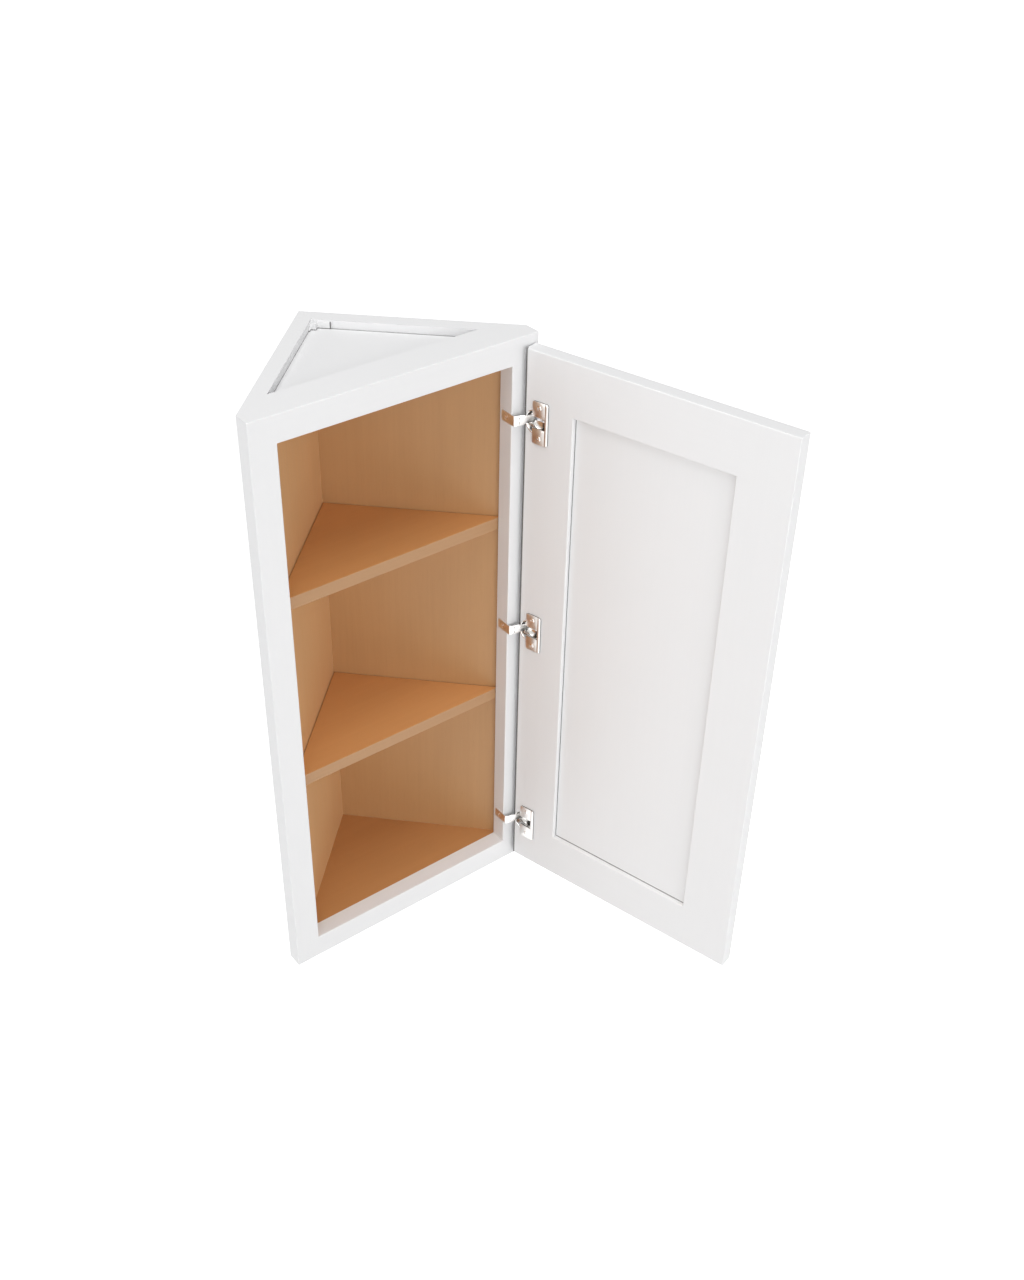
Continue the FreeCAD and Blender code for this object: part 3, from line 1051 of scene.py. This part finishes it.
@dataclass
class Carcass:
    """The panels and the face frame, which keep their solids from the frame; lengths are in metres."""

    palette: Palette
    plane_margin: float = 0.0002
    # Widths of the painted shade lines on the top panel along the feet of the side and back walls.
    side_shade_width: float = 0.001
    back_shade_width: float = 0.0024
    past_all: float = 10.0

    def panel(self, node: str, inside: InsideFace, wood: WoodFinish, shade_lines: Optional[ShadeLines] = None) -> None:
        """Dress one panel that is painted outside and veneered inside.

        Args:
            node: the panel.
            inside: where it shows wood.
            wood: its veneer.
            shade_lines: painted shade lines on the paint, if it has any.
        """
        paint = PaintFinish(WHITE)
        if shade_lines:
            paint = PanelFinish(paint, PaintFinish(PAINTED_SHADE), shade_lines)
        dress(node, make_material(node + "_finish", PanelFinish(paint, wood, inside)))

    def build(self) -> None:
        """Dress the panels and the face frame."""
        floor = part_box("bottom_panel")[1].z
        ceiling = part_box("top_panel")[0].z
        margin = self.plane_margin
        side_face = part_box("side_panel")[1].x - margin
        back_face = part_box("back_panel")[0].y + margin
        side_wood = WoodFinish(SIDE_LIGHT, SIDE_DARK)
        back_wood = WoodFinish(BACK_LIGHT, BACK_DARK)
        level_wood = WoodFinish(BOTTOM_LIGHT, BOTTOM_DARK, FACE_TURN, upright_grain=False)
        above_floor = InsideFace(Axis.UP, floor - margin, 1.0, -self.past_all, self.past_all)
        below_ceiling = InsideFace(Axis.UP, ceiling + margin, -1.0, -self.past_all, self.past_all)
        # Painted shade along the feet of the side and back walls on the top panel, for the shadows the walls
        # cast there.
        shade_lines = ShadeLines((ShadeLine(Axis.WALL, side_face, 1.0, width=self.side_shade_width),
                       ShadeLine(Axis.DEPTH, back_face, -1.0, width=self.back_shade_width)))
        self.panel("side_panel", InsideFace(Axis.WALL, side_face, 1.0, floor, ceiling), side_wood)
        self.panel("back_panel", InsideFace(Axis.DEPTH, back_face, -1.0, floor, ceiling), back_wood)
        self.panel("top_panel", below_ceiling, level_wood, shade_lines)
        self.panel("bottom_panel", above_floor, level_wood)
        for node in ("latch_stile", "hinge_stile"):
            dress(node, self.palette.frame_upright)
        for node in ("top_rail", "bottom_rail", "top_cleat"):
            dress(node, self.palette.frame_level)


@dataclass
class Shelving:
    """The loose shelves and the pins under them, in millimetres."""

    palette: Palette
    pin_radius: float = 3.0
    pin_embed: float = 10.0
    pin_reach: float = 10.0
    pin_rise: float = 1.8
    pin_tip: float = 0.8
    pin_steps: int = 36
    corner_distance: float = 45.0
    spacing: float = 140.0

    def pin_shape(self) -> Mesh:
        """Turn one pin along +Z with a flat on its +X side where it carries the shelf.

        Returns:
            The pin's shape.
        """
        radius = self.pin_radius
        tip = self.pin_tip
        rounded = ROUND_SHARE * tip
        mesh = bmesh.new()
        profile = [(0.0, -self.pin_embed), (radius - tip, -self.pin_embed), (radius, -self.pin_embed + tip),
                   (radius, -HAIR), (radius, 0.0), (radius, self.pin_reach - tip),
                   (radius - rounded, self.pin_reach - rounded), (radius - tip, self.pin_reach),
                   (0.0, self.pin_reach)]
        add_turned(mesh, profile, 0.0, FULL_TURN, self.pin_steps)
        weld(mesh)
        for vert in mesh.verts:
            if vert.co.z >= 0.0:
                vert.co.x = min(vert.co.x, self.pin_rise)
        return mesh

    def pins(self, level: str) -> None:
        """Model the four pins under one shelf.

        Args:
            level: which shelf, upper or lower.
        """
        node = level + "_shelf_pegs"
        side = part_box("side_panel")[1].x / MM
        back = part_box("back_panel")[0].y / MM
        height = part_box(level + "_shelf")[0].z / MM - self.pin_rise
        # A pin's own z axis points out of its wall, and its x axis points up.
        out_of_side = Matrix(((0, 0, 1, 0), (0, -1, 0, 0), (1, 0, 0, 0), (0, 0, 0, 1)))
        out_of_back = turned(-QUARTER_TURN, "Z") @ out_of_side
        for number, distance in enumerate((self.corner_distance, self.corner_distance + self.spacing), 1):
            on_side = Matrix.Translation((side, back - distance, height)) @ out_of_side
            on_back = Matrix.Translation((side + distance, back, height)) @ out_of_back
            for wall, place in (("side", on_side), ("back", on_back)):
                name = f"{level}_{wall}_pin_{number}"
                piece = Piece(name, Body.CARCASS, Slot.PLATED_STEEL, self.palette.nickel, (node,))
                piece.publish(self.pin_shape(), place)

    def build(self) -> None:
        """Dress the shelves and model their pins."""
        face = WoodFinish(BOARD_LIGHT, BOARD_DARK, FACE_TURN, upright_grain=False)
        edge = WoodFinish(EDGE_LIGHT, EDGE_DARK, FACE_TURN, upright_grain=False)
        for level in ("upper", "lower"):
            node = level + "_shelf"
            low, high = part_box(node)
            dress(node, make_material(node + "_veneer", PanelFinish(face, edge, CutEdge(low.z, high.z))))
            self.pins(level)


@dataclass
class Door:
    """The door's frame and panel, which keep their solids from the frame; lengths are in metres."""

    palette: Palette
    # Widths of the painted shade lines round the door's panel and on the corner at the hinge gap, and the
    # full share of that corner's shade.
    level_shade_width: float = 0.0022
    gap_shade_width: float = 0.0033
    gap_shade_core: float = 0.75

    def dress_with_painted_shade(self, node: str, region: Union[ShadeLines, PaintedShadeCorner]) -> None:
        """Dress one board with painted shade lines on its paint."""
        finish = PanelFinish(PaintFinish(WHITE, DOOR_TURN), PaintFinish(PAINTED_SHADE, DOOR_TURN), region)
        dress(node, make_material(node + "_finish", finish))

    def build(self) -> None:
        """Dress the door, with painted shade lines round its panel and painted shade on the corner that turns
        into the hinge gap.
        """
        panel_start, hinge_edge = span("door_hinge_stile", DOOR_TURN)
        panel_end = span("door_latch_stile", DOOR_TURN)[1]
        inner_face = span("door_hinge_stile", DOOR_TURN + QUARTER_TURN)[1]
        # Painted shade lines round the panel, where the frame's inner walls shade it.
        self.dress_with_painted_shade("door_panel", ShadeLines((
            ShadeLine(Axis.WALL, panel_start, -1.0, DOOR_TURN),
            ShadeLine(Axis.WALL, panel_end, 1.0, DOOR_TURN),
            ShadeLine(Axis.UP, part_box("door_bottom_rail")[1].z, 1.0, width=self.level_shade_width),
            ShadeLine(Axis.UP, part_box("door_top_rail")[0].z, -1.0, width=self.level_shade_width),
        )))
        # Painted shade on the door's corner that turns into the hinge gap, where that gap lies in shadow.
        self.dress_with_painted_shade("door_hinge_stile", PaintedShadeCorner(
            ShadeLine(Axis.WALL, hinge_edge, -1.0, DOOR_TURN, self.gap_shade_width, self.gap_shade_core),
            ShadeLine(Axis.DEPTH, inner_face, -1.0, DOOR_TURN, self.gap_shade_width, self.gap_shade_core),
        ))
        dress("door_latch_stile", self.palette.door_upright)
        for node in ("door_top_rail", "door_bottom_rail"):
            dress(node, self.palette.door_level)


@dataclass
class CornerBracket:
    """A moulded block that ties the side and the back together in a corner, in millimetres."""

    node: str
    up: float
    leg: float = 27.0
    block: float = 9.0
    wall: float = 2.0
    side_leg: float = 15.0
    edge_round: float = 0.4

    def plastic(self) -> Material:
        """Make the plastic, with painted shade lines at the bracket's foot and at the flange's end.

        Returns:
            The material.
        """
        low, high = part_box(self.node)
        foot = low.z if self.up > 0.0 else high.z
        # Painted shade lines at the bracket's foot and at the flange's end, for its contact shadows.
        shade_lines = ShadeLines((ShadeLine(Axis.UP, foot, self.up), ShadeLine(Axis.WALL, high.x, -1.0)))
        finish = PanelFinish(PlasticFinish(MOULDED_WHITE), PlasticFinish(PAINTED_SHADE), shade_lines)
        return make_material(self.node + "_plastic", finish)

    def piece(self, part: str, plastic: Material) -> Piece:
        """Describe one piece of the bracket."""
        return Piece(f"{self.node}_{part}", Body.CARCASS, Slot.WHITE_PLASTIC, plastic, (self.node,))

    def place(self, height: float) -> Matrix:
        """Find the corner.

        Args:
            height: the bracket's height.

        Returns:
            Axes in the corner: x along the back, y towards it and z away from the panel.
        """
        low, high = (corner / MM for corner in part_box(self.node))
        foot = low.z if self.up > 0.0 else low.z + height
        return Matrix.Translation((low.x, high.y, foot)) @ Matrix.Diagonal((1.0, 1.0, self.up, 1.0))

    def build(self) -> None:
        """Model the block with its flange on the back, and the tapered flange on the side."""
        low, high = (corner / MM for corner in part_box(self.node))
        height = high.z - low.z
        plastic = self.plastic()
        outline = [(0, 0), (0, -self.block), (self.block, -self.block), (self.block, -self.wall),
                   (self.leg, -self.wall), (self.leg, 0)]
        block = bmesh.new()
        add_plate(block, outline, 0.0, height)
        face_outwards(block)
        ease_sharp(block, self.edge_round)
        self.piece("block", plastic).publish(block, self.place(height))
        rise = height * (1.0 - self.block / self.side_leg)
        # The gusset's outline stands on the side: its x axis runs forward from the back, and its y axis up.
        upright = Matrix(((0, 0, 1, 0), (-1, 0, 0, 0), (0, 1, 0, 0), (0, 0, 0, 1)))
        gusset = bmesh.new()
        add_plate(gusset, [(self.block, 0.0), (self.side_leg, 0.0), (self.block, rise)], 0.0, self.wall)
        face_outwards(gusset)
        self.piece("gusset", plastic).publish(gusset, self.place(height) @ upright)


@dataclass
class Hinge:
    """One concealed hinge: a bent arm on the stile and a cup with a screw plate on the door.

    Its axes start at the pivot: x runs along the face frame away from the latch, y points into
    the cabinet and z is up. The cup's axes are those of the door, shut. Lengths are in millimetres
    and angles in degrees.
    """

    palette: Palette
    name: str

    # The arm on the stile
    stile_distance: float = 26.02
    arm_thickness: float = 1.2
    arm_width: float = 15.0
    arm_tilt: float = 12.0
    eye_width: float = 11.0
    eye_radius: float = 2.25
    eye_roll: float = 285.0
    eye_steps: int = 26
    bend_radius: float = 4.2
    bend_steps: int = 12
    leaf_end: float = 30.94
    leaf_front: float = 10.94
    leaf_tip: float = 1.5
    leaf_tip_share: float = 0.86
    taper_start: float = 13.0
    taper_end: float = 10.2
    adjuster_distance: float = 2.6

    # The cup in the door
    face_height: float = 8.0
    cup_offset: float = -13.22
    cup_radius: float = 17.5
    cup_depth: float = 11.95
    cup_wall: float = 0.8
    cup_fillet: float = 1.6
    cup_steps: int = 72
    rim_radius: float = 18.5
    rim_height: float = 1.0
    rim_edge: float = 0.4
    rim_outer_share: float = 0.5
    rim_inner_share: float = 0.6
    rim_under_plate: float = 1.0
    rim_steps: int = 24
    notch_half: float = 5.8
    notch_depth: float = 2.0

    # The screw plate on the door
    plate_near: float = 6.0
    plate_far: float = -19.0
    plate_height: float = 62.0
    plate_thickness: float = 2.0
    plate_rise: float = 1.2
    plate_slope: float = 1.5
    plate_slope_angle: float = 30.0
    plate_corner: float = 3.0
    plate_corner_steps: int = 5
    plate_edge: float = 0.2
    slot_end: float = -14.7
    slot_half: float = 8.3
    screw_x: float = -5.0
    screw_spacing: float = 45.0

    # The lugs, the pin and the spring in the cup
    lug_thickness: float = 1.2
    lug_radius: float = 2.3
    lug_steps: int = 12
    lug_edge: float = 0.2
    lug_edge_angle: float = 60.0
    side_clearance: float = 0.3
    pin_radius: float = 1.0
    pin_crown: float = 0.3
    pin_steps: int = 28
    spring_width: float = 7.0
    spring_thickness: float = 0.6
    spring_upright: float = 6.0
    spring_bend: float = 1.4
    spring_steps: int = 8
    spring_gap: float = 0.4

    def pivot(self) -> Vector:
        """Give the pivot's place in millimetres."""
        low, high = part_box(self.name + "_hinge_pin")
        return (low + high) / (2.0 * MM)

    def on_stile(self) -> Matrix:
        """Give the axes of the arm."""
        return Matrix.Translation(self.pivot()) @ turned(FACE_TURN, "Z")

    def on_door(self) -> Matrix:
        """Give the axes of the door's half, turned with the open door."""
        return self.on_stile() @ turned(DOOR_OPEN, "Z")

    def on_cup(self) -> Matrix:
        """Give axes on the cup's mouth: z points out of the door and x towards the hinge side's edge."""
        mouth = Matrix.Translation((self.cup_offset, self.face_height, 0.0))
        return self.on_door() @ (mouth @ turned(-QUARTER_TURN, "X"))

    def piece(self, part: str, body: Body, node: str, material: Optional[Material] = None) -> Piece:
        """Describe one piece of the hinge.

        Args:
            part: what it is.
            body: what it rides on.
            node: the part of the hinge that it stands for.
            material: what it wears, if it isn't bright nickel.

        Returns:
            The piece.
        """
        slot = Slot.SPRING_STEEL if material is self.palette.spring else Slot.PLATED_STEEL
        name = f"{self.name}_hinge_{part}"
        return Piece(name, body, slot, material or self.palette.nickel, (f"{self.name}_hinge_{node}",))

    def screw(self, part: str, body: Body, place: Matrix, sizes: CrossScrew) -> None:
        """Model one screw."""
        piece = Piece(f"{self.name}_hinge_{part}", body, Slot.PLATED_STEEL, self.palette.nickel)
        piece.publish(sizes.shape(), place)

    def run_normal(self) -> Vector:
        """Give the direction that the front of the arm's run faces."""
        tilt = math.radians(self.arm_tilt)
        return Vector((-math.sin(tilt), -math.cos(tilt), 0.0))

    def run_along(self) -> Vector:
        """Give the direction of the arm's run towards the eye."""
        tilt = math.radians(self.arm_tilt)
        return Vector((math.cos(tilt), -math.sin(tilt), 0.0))

    def bend_centre(self) -> Vector:
        """Find the centre of the arm's bend, which touches the leaf and the run.

        Returns:
            The centre in the arm's axes.
        """
        normal = self.run_normal()
        x = -self.stile_distance - self.arm_thickness + self.bend_radius
        y = (self.eye_radius - self.bend_radius - x * normal.x) / normal.y
        return Vector((x, y, 0.0))

    def arm_share(self, x: float, y: float) -> float:
        """Find how wide the arm is at a place.

        Args:
            x: the place along the face frame.
            y: the place into the cabinet.

        Returns:
            The share of its full width: less at the leaf's tip and in the taper to the eye.
        """
        if y > self.leaf_end - self.leaf_tip / 2.0:
            return self.leaf_tip_share
        narrowest = self.eye_width / self.arm_width
        near = (x + self.taper_start) / (self.taper_start - self.taper_end)
        return 1.0 + (narrowest - 1.0) * min(max(near, 0.0), 1.0)

    def arm(self) -> None:
        """Bend the arm: a leaf on the stile, a bend, a tilted run to the door and a rolled eye."""
        centre = self.bend_centre()
        along = self.run_along()
        leaf_x = centre.x - self.bend_radius + self.arm_thickness / 2.0
        run_length = -centre.dot(along)
        wide = run_length - self.taper_start / along.x
        narrow = self.taper_end / along.x
        strip = SheetStrip(self.arm_width, self.arm_thickness)
        strip.begin(leaf_x, self.leaf_end)
        strip.run(0.0, -self.leaf_tip)
        strip.run(0.0, centre.y - self.leaf_end + self.leaf_tip)
        strip.bend(centre.x, centre.y, QUARTER_TURN - self.arm_tilt, self.bend_steps)
        for length in (wide, run_length - wide - narrow, narrow):
            strip.run(along.x * length, along.y * length)
        strip.bend(0.0, 0.0, self.eye_roll, self.eye_steps)
        strip.narrow(self.arm_share)
        piece = self.piece("arm", Body.CARCASS, "arm", self.palette.arm_nickel)
        piece.publish(strip.finish(), self.on_stile())

    def arm_screws(self) -> None:
        """Model the leaf's flush screw and the two adjusting screws on the run beside the bend."""
        flush = CrossScrew(head_height=0.2, recess_depth=0.8)
        leaf_middle = (self.leaf_front + self.leaf_end) / 2.0
        leaf_x = -(self.stile_distance + self.arm_thickness)
        out_of_leaf = Matrix.Translation((leaf_x, leaf_middle, 0.0)) @ turned(-QUARTER_TURN, "Y")
        self.screw("leaf_screw", Body.CARCASS, self.on_stile() @ out_of_leaf, flush)
        small = CrossScrew(head_radius=2.2, head_height=0.9, shank_radius=1.0, reach=2.4, recess_width=0.7,
                           recess_length=2.4, recess_depth=0.7)
        normal = self.run_normal()
        face = self.bend_centre() + normal * self.bend_radius + self.run_along() * self.adjuster_distance
        turn = Vector((0, 0, 1)).rotation_difference(normal).to_matrix().to_4x4()
        for number, side in enumerate((-1.0, 1.0), 1):
            place = Matrix.Translation(face + Vector((0.0, 0.0, side * self.arm_width / 4.0))) @ turn
            self.screw(f"adjuster_{number}", Body.CARCASS, self.on_stile() @ place, small)

    def bowl(self) -> None:
        """Turn the cup's bowl and cut the arm's notch into its wall."""
        radius = self.cup_radius
        inner = radius - self.cup_wall
        floor = -self.cup_depth
        inner_floor = floor + self.cup_wall
        fillet = self.cup_fillet
        rounded = ROUND_SHARE * fillet
        mesh = bmesh.new()
        outside = [(0.0, floor), (radius - fillet, floor), (radius - rounded, floor + rounded),
                   (radius, floor + fillet), (radius, 0.0)]
        inside = [(inner, 0.0), (inner, inner_floor + fillet), (inner - rounded, inner_floor + rounded),
                  (inner - fillet, inner_floor), (0.0, inner_floor)]
        add_turned(mesh, outside + inside, 0.0, FULL_TURN, self.cup_steps)
        for vert in mesh.verts:
            if vert.co.z > -HAIR and vert.co.x > 0.0 and abs(vert.co.y) < self.notch_half:
                vert.co.z = -self.notch_depth
        self.piece("bowl", Body.DOOR, "cup").publish(mesh, self.on_cup())

    def rim(self) -> None:
        """Turn the two arcs of the cup's rim between the notch and the plate."""
        first = math.degrees(math.asin(self.notch_half / self.cup_radius))
        last = math.degrees(math.acos((self.plate_near - self.rim_under_plate) / self.rim_radius))
        inner = self.cup_radius - self.cup_wall
        outer = self.rim_radius
        top = self.rim_height
        profile = [(inner, 0.0), (outer, 0.0), (outer, self.rim_outer_share * top),
                   (outer - self.rim_edge, top), (inner + self.rim_edge, top),
                   (inner, self.rim_inner_share * top), (inner, 0.0)]
        for number, start in enumerate((first, -last), 1):
            mesh = bmesh.new()
            add_turned(mesh, profile, start, last - first, self.rim_steps)
            self.piece(f"rim_{number}", Body.DOOR, "cup").publish(mesh, self.on_cup())

    def plate_pads(self) -> None:
        """Press the two pads of the screw plate, one on each side of the arm's slot."""
        half = self.plate_height / 2.0
        low = Vector((self.slot_end, self.slot_half, 0.0))
        high = Vector((self.plate_near, half, self.plate_thickness))
        for number, side in enumerate((-1.0, 1.0), 1):
            mesh = bmesh.new()
            add_block(mesh, low, high)
            near_edges = upright_edges(mesh, self.plate_near)
            corner = [edge for edge in near_edges if edge.verts[0].co.y > self.slot_half + HAIR]
            ease(mesh, corner, self.plate_corner, self.plate_corner_steps)
            ease_sharp(mesh, self.plate_edge)
            piece = self.piece(f"pad_{number}", Body.DOOR, "cup", self.palette.satin_nickel)
            piece.publish(mesh, self.on_cup() @ Matrix.Diagonal((1.0, side, 1.0, 1.0)))

    def plate_bar(self) -> None:
        """Press the raised bar that joins the pads beyond the slot, with sloping outer edges."""
        half = self.plate_height / 2.0
        top = self.plate_thickness + self.plate_rise
        mesh = bmesh.new()
        add_block(mesh, Vector((self.plate_far, -half, 0.0)), Vector((self.slot_end, half, top)))
        ease(mesh, upright_edges(mesh, self.plate_far), self.plate_corner, self.plate_corner_steps)
        outer = [edge for edge in mesh.edges if all(vert.co.z > top - HAIR for vert in edge.verts)
                 and min(vert.co.x for vert in edge.verts) < self.slot_end - HAIR]
        ease(mesh, outer, self.plate_slope, segments=1)
        ease_sharp(mesh, self.plate_edge, self.plate_slope_angle)
        self.piece("bar", Body.DOOR, "cup", self.palette.satin_nickel).publish(mesh, self.on_cup())

    def plate_screws(self) -> None:
        """Model the two low screws of the plate."""
        low_head = CrossScrew(head_height=0.6, recess_depth=0.9)
        for number, side in enumerate((-1.0, 1.0), 1):
            place = Matrix.Translation((self.screw_x, side * self.screw_spacing / 2.0, self.plate_thickness))
            self.screw(f"plate_screw_{number}", Body.DOOR, self.on_cup() @ place, low_head)

    def lugs(self) -> None:
        """Stand the two lugs that hold the pin in the cup."""
        radius = self.lug_radius
        gap = self.eye_width / 2.0 + self.side_clearance
        foot = self.face_height - self.cup_depth + self.cup_wall
        angles = [math.pi * step / self.lug_steps for step in range(self.lug_steps + 1)]
        arc = [(radius * math.cos(angle), radius * math.sin(angle)) for angle in angles]
        outline = [(radius, foot), *arc, (-radius, foot)]
        for number, low in enumerate((gap, -gap - self.lug_thickness), 1):
            mesh = bmesh.new()
            add_plate(mesh, outline, low, low + self.lug_thickness)
            face_outwards(mesh)
            ease_sharp(mesh, self.lug_edge, self.lug_edge_angle)
            self.piece(f"lug_{number}", Body.DOOR, "cup").publish(mesh, self.on_door())

    def pin(self) -> None:
        """Turn the pivot pin with its rounded ends."""
        half = self.eye_width / 2.0 + self.side_clearance + self.lug_thickness
        radius = self.pin_radius
        crown = self.pin_crown
        mesh = bmesh.new()
        profile = [(0.0, -half), (radius - crown, -half), (radius, -half + crown), (radius, half - crown),
                   (radius - crown, half), (0.0, half)]
        add_turned(mesh, profile, 0.0, FULL_TURN, self.pin_steps)
        self.piece("pin", Body.DOOR, "pin").publish(mesh, self.on_door())

    def spring(self) -> None:
        """Bend the leaf spring on the cup's floor."""
        half = self.spring_thickness / 2.0
        bend = self.spring_bend
        floor = self.face_height - self.cup_depth + self.cup_wall + half
        reach = math.sqrt((self.cup_radius - self.cup_wall) ** 2 - (self.spring_width / 2.0) ** 2)
        far = self.cup_offset - reach + self.spring_gap + half
        strip = SheetStrip(self.spring_width, self.spring_thickness)
        strip.begin(-self.lug_radius, floor)
        strip.run(far + bend + self.lug_radius, 0.0)
        strip.bend(far + bend, floor + bend, -QUARTER_TURN, self.spring_steps)
        strip.run(0.0, self.spring_upright - bend - half)
        self.piece("spring", Body.DOOR, "spring", self.palette.spring).publish(strip.finish(), self.on_door())

    def build(self) -> None:
        """Model every piece of the hinge."""
        self.arm()
        self.arm_screws()
        self.bowl()
        self.rim()
        self.plate_pads()
        self.plate_bar()
        self.plate_screws()
        self.lugs()
        self.pin()
        self.spring()


# Studio


@dataclass(frozen=True)
class Lamp:
    """One soft round lamp that points at the cabinet, in metres and watts."""

    name: str
    place: Triple
    power: float
    size: float = 3.0
    target: Triple = (0.0, -0.15, 0.0)

    def hang(self) -> None:
        """Hang the lamp."""
        data = bpy.data.lights.new(self.name, "AREA")
        data.shape = "DISK"
        data.size = self.size
        data.energy = self.power
        lamp = put_in_scene(self.name, data)
        lamp.location = self.place
        aim = Vector(self.target) - Vector(self.place)
        lamp.rotation_euler = aim.to_track_quat("-Z", "Y").to_euler()


LAMPS = (
    Lamp("right_lamp", (3.2, -3.0, 0.7), 64.0),
    Lamp("left_lamp", (-3.4, -2.6, 0.7), 54.0),
    Lamp("top_lamp", (-0.2, -0.9, 3.8), 79.0),
    Lamp("front_lamp", (1.0, -4.0, 1.4), 42.0),
    Lamp("rim_lamp", (3.5, 0.5, 0.15), 8.0, size=0.7),
)


@dataclass
class Studio:
    """The floor, the light and the camera at the photograph's view."""

    hanging_height: float = 1.37
    floor_size: float = 60.0
    floor_roughness: float = 0.9
    floor_glow: float = 0.9
    ambient: float = 0.3
    lamps: tuple[Lamp, ...] = LAMPS
    camera_place: Triple = (0.3382, -1.7731, 1.2383)
    camera_pitch: float = 35.851
    camera_yaw: float = -8.572
    camera_lens: float = 41.10
    camera_sensor: float = 36.0
    camera_shift: Point = (0.0367, 0.0)

    def seen_directly(self, graph: Graph) -> Value:
        """Find the rays that show the studio itself.

        Args:
            graph: the tree that asks.

        Returns:
            1 for rays from the camera and for mirrored or refracted ones, and 0 for the others.
        """
        path = graph.add("ShaderNodeLightPath", {}, {})
        seen = graph.out(path, "Is Camera Ray")
        for name in ("Is Glossy Ray", "Is Transmission Ray"):
            seen = seen.largest(graph.out(path, name))
        return seen

    def floor(self) -> None:
        """Lay the pale floor a hanging height below the cabinet."""
        mesh = bmesh.new()
        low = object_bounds()[0].z - self.hanging_height
        bmesh.ops.create_grid(mesh, x_segments=1, y_segments=1, size=self.floor_size / 2.0,
                              matrix=Matrix.Translation((0, 0, low)))
        data = bpy.data.meshes.new("studio_floor")
        mesh.to_mesh(data)
        mesh.free()
        material, graph = start_material("studio_floor")
        graph.surface({
            "Base Color": FLOOR_WHITE,
            "Roughness": self.floor_roughness,
            "Emission Color": graph.blend(self.seen_directly(graph), UNLIT, LIT),
            "Emission Strength": self.floor_glow,
        })
        data.materials.append(material)
        floor = put_in_scene("studio_floor", data)
        floor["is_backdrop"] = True

    def sky(self) -> None:
        """Surround the cabinet with an even white light."""
        world = bpy.data.worlds.new("studio_sky")
        bpy.context.scene.world = world
        world.use_nodes = True
        graph = Graph(world.node_tree)
        light = graph.add("ShaderNodeBackground", {}, {"Color": LIT, "Strength": self.ambient})
        white = graph.add("ShaderNodeBackground", {}, {"Color": LIT, "Strength": 1.0})
        inputs = {0: self.seen_directly(graph), 1: graph.out(light, 0), 2: graph.out(white, 0)}
        both = graph.add("ShaderNodeMixShader", {}, inputs)
        graph.add("ShaderNodeOutputWorld", {}, {"Surface": graph.out(both, 0)})

    def camera(self) -> None:
        """Set the camera at the photograph's view."""
        data = bpy.data.cameras.new("photo_camera")
        data.lens = self.camera_lens
        data.sensor_width = self.camera_sensor
        data.shift_x, data.shift_y = self.camera_shift
        camera = put_in_scene("photo_camera", data)
        camera.location = self.camera_place
        pitch = math.radians(QUARTER_TURN - self.camera_pitch)
        camera.rotation_euler = (pitch, 0.0, math.radians(-self.camera_yaw))
        bpy.context.scene.camera = camera

    def build(self) -> None:
        """Set up the studio."""
        self.floor()
        self.sky()
        for lamp in self.lamps:
            lamp.hang()
        self.camera()
        bpy.context.scene.view_settings.view_transform = "Standard"


def main() -> None:
    """Build the cabinet's looks and its studio."""
    logging.basicConfig(level=logging.INFO, format="%(name)s: %(message)s")
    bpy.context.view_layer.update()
    palette = make_palette()
    Carcass(palette).build()
    Shelving(palette).build()
    Door(palette).build()
    CornerBracket("top_corner_bracket", 1.0).build()
    CornerBracket("bottom_corner_bracket", -1.0).build()
    for name in ("upper", "middle", "lower"):
        Hinge(palette, name).build()
    Studio().build()


if __name__ == "__main__":
    main()
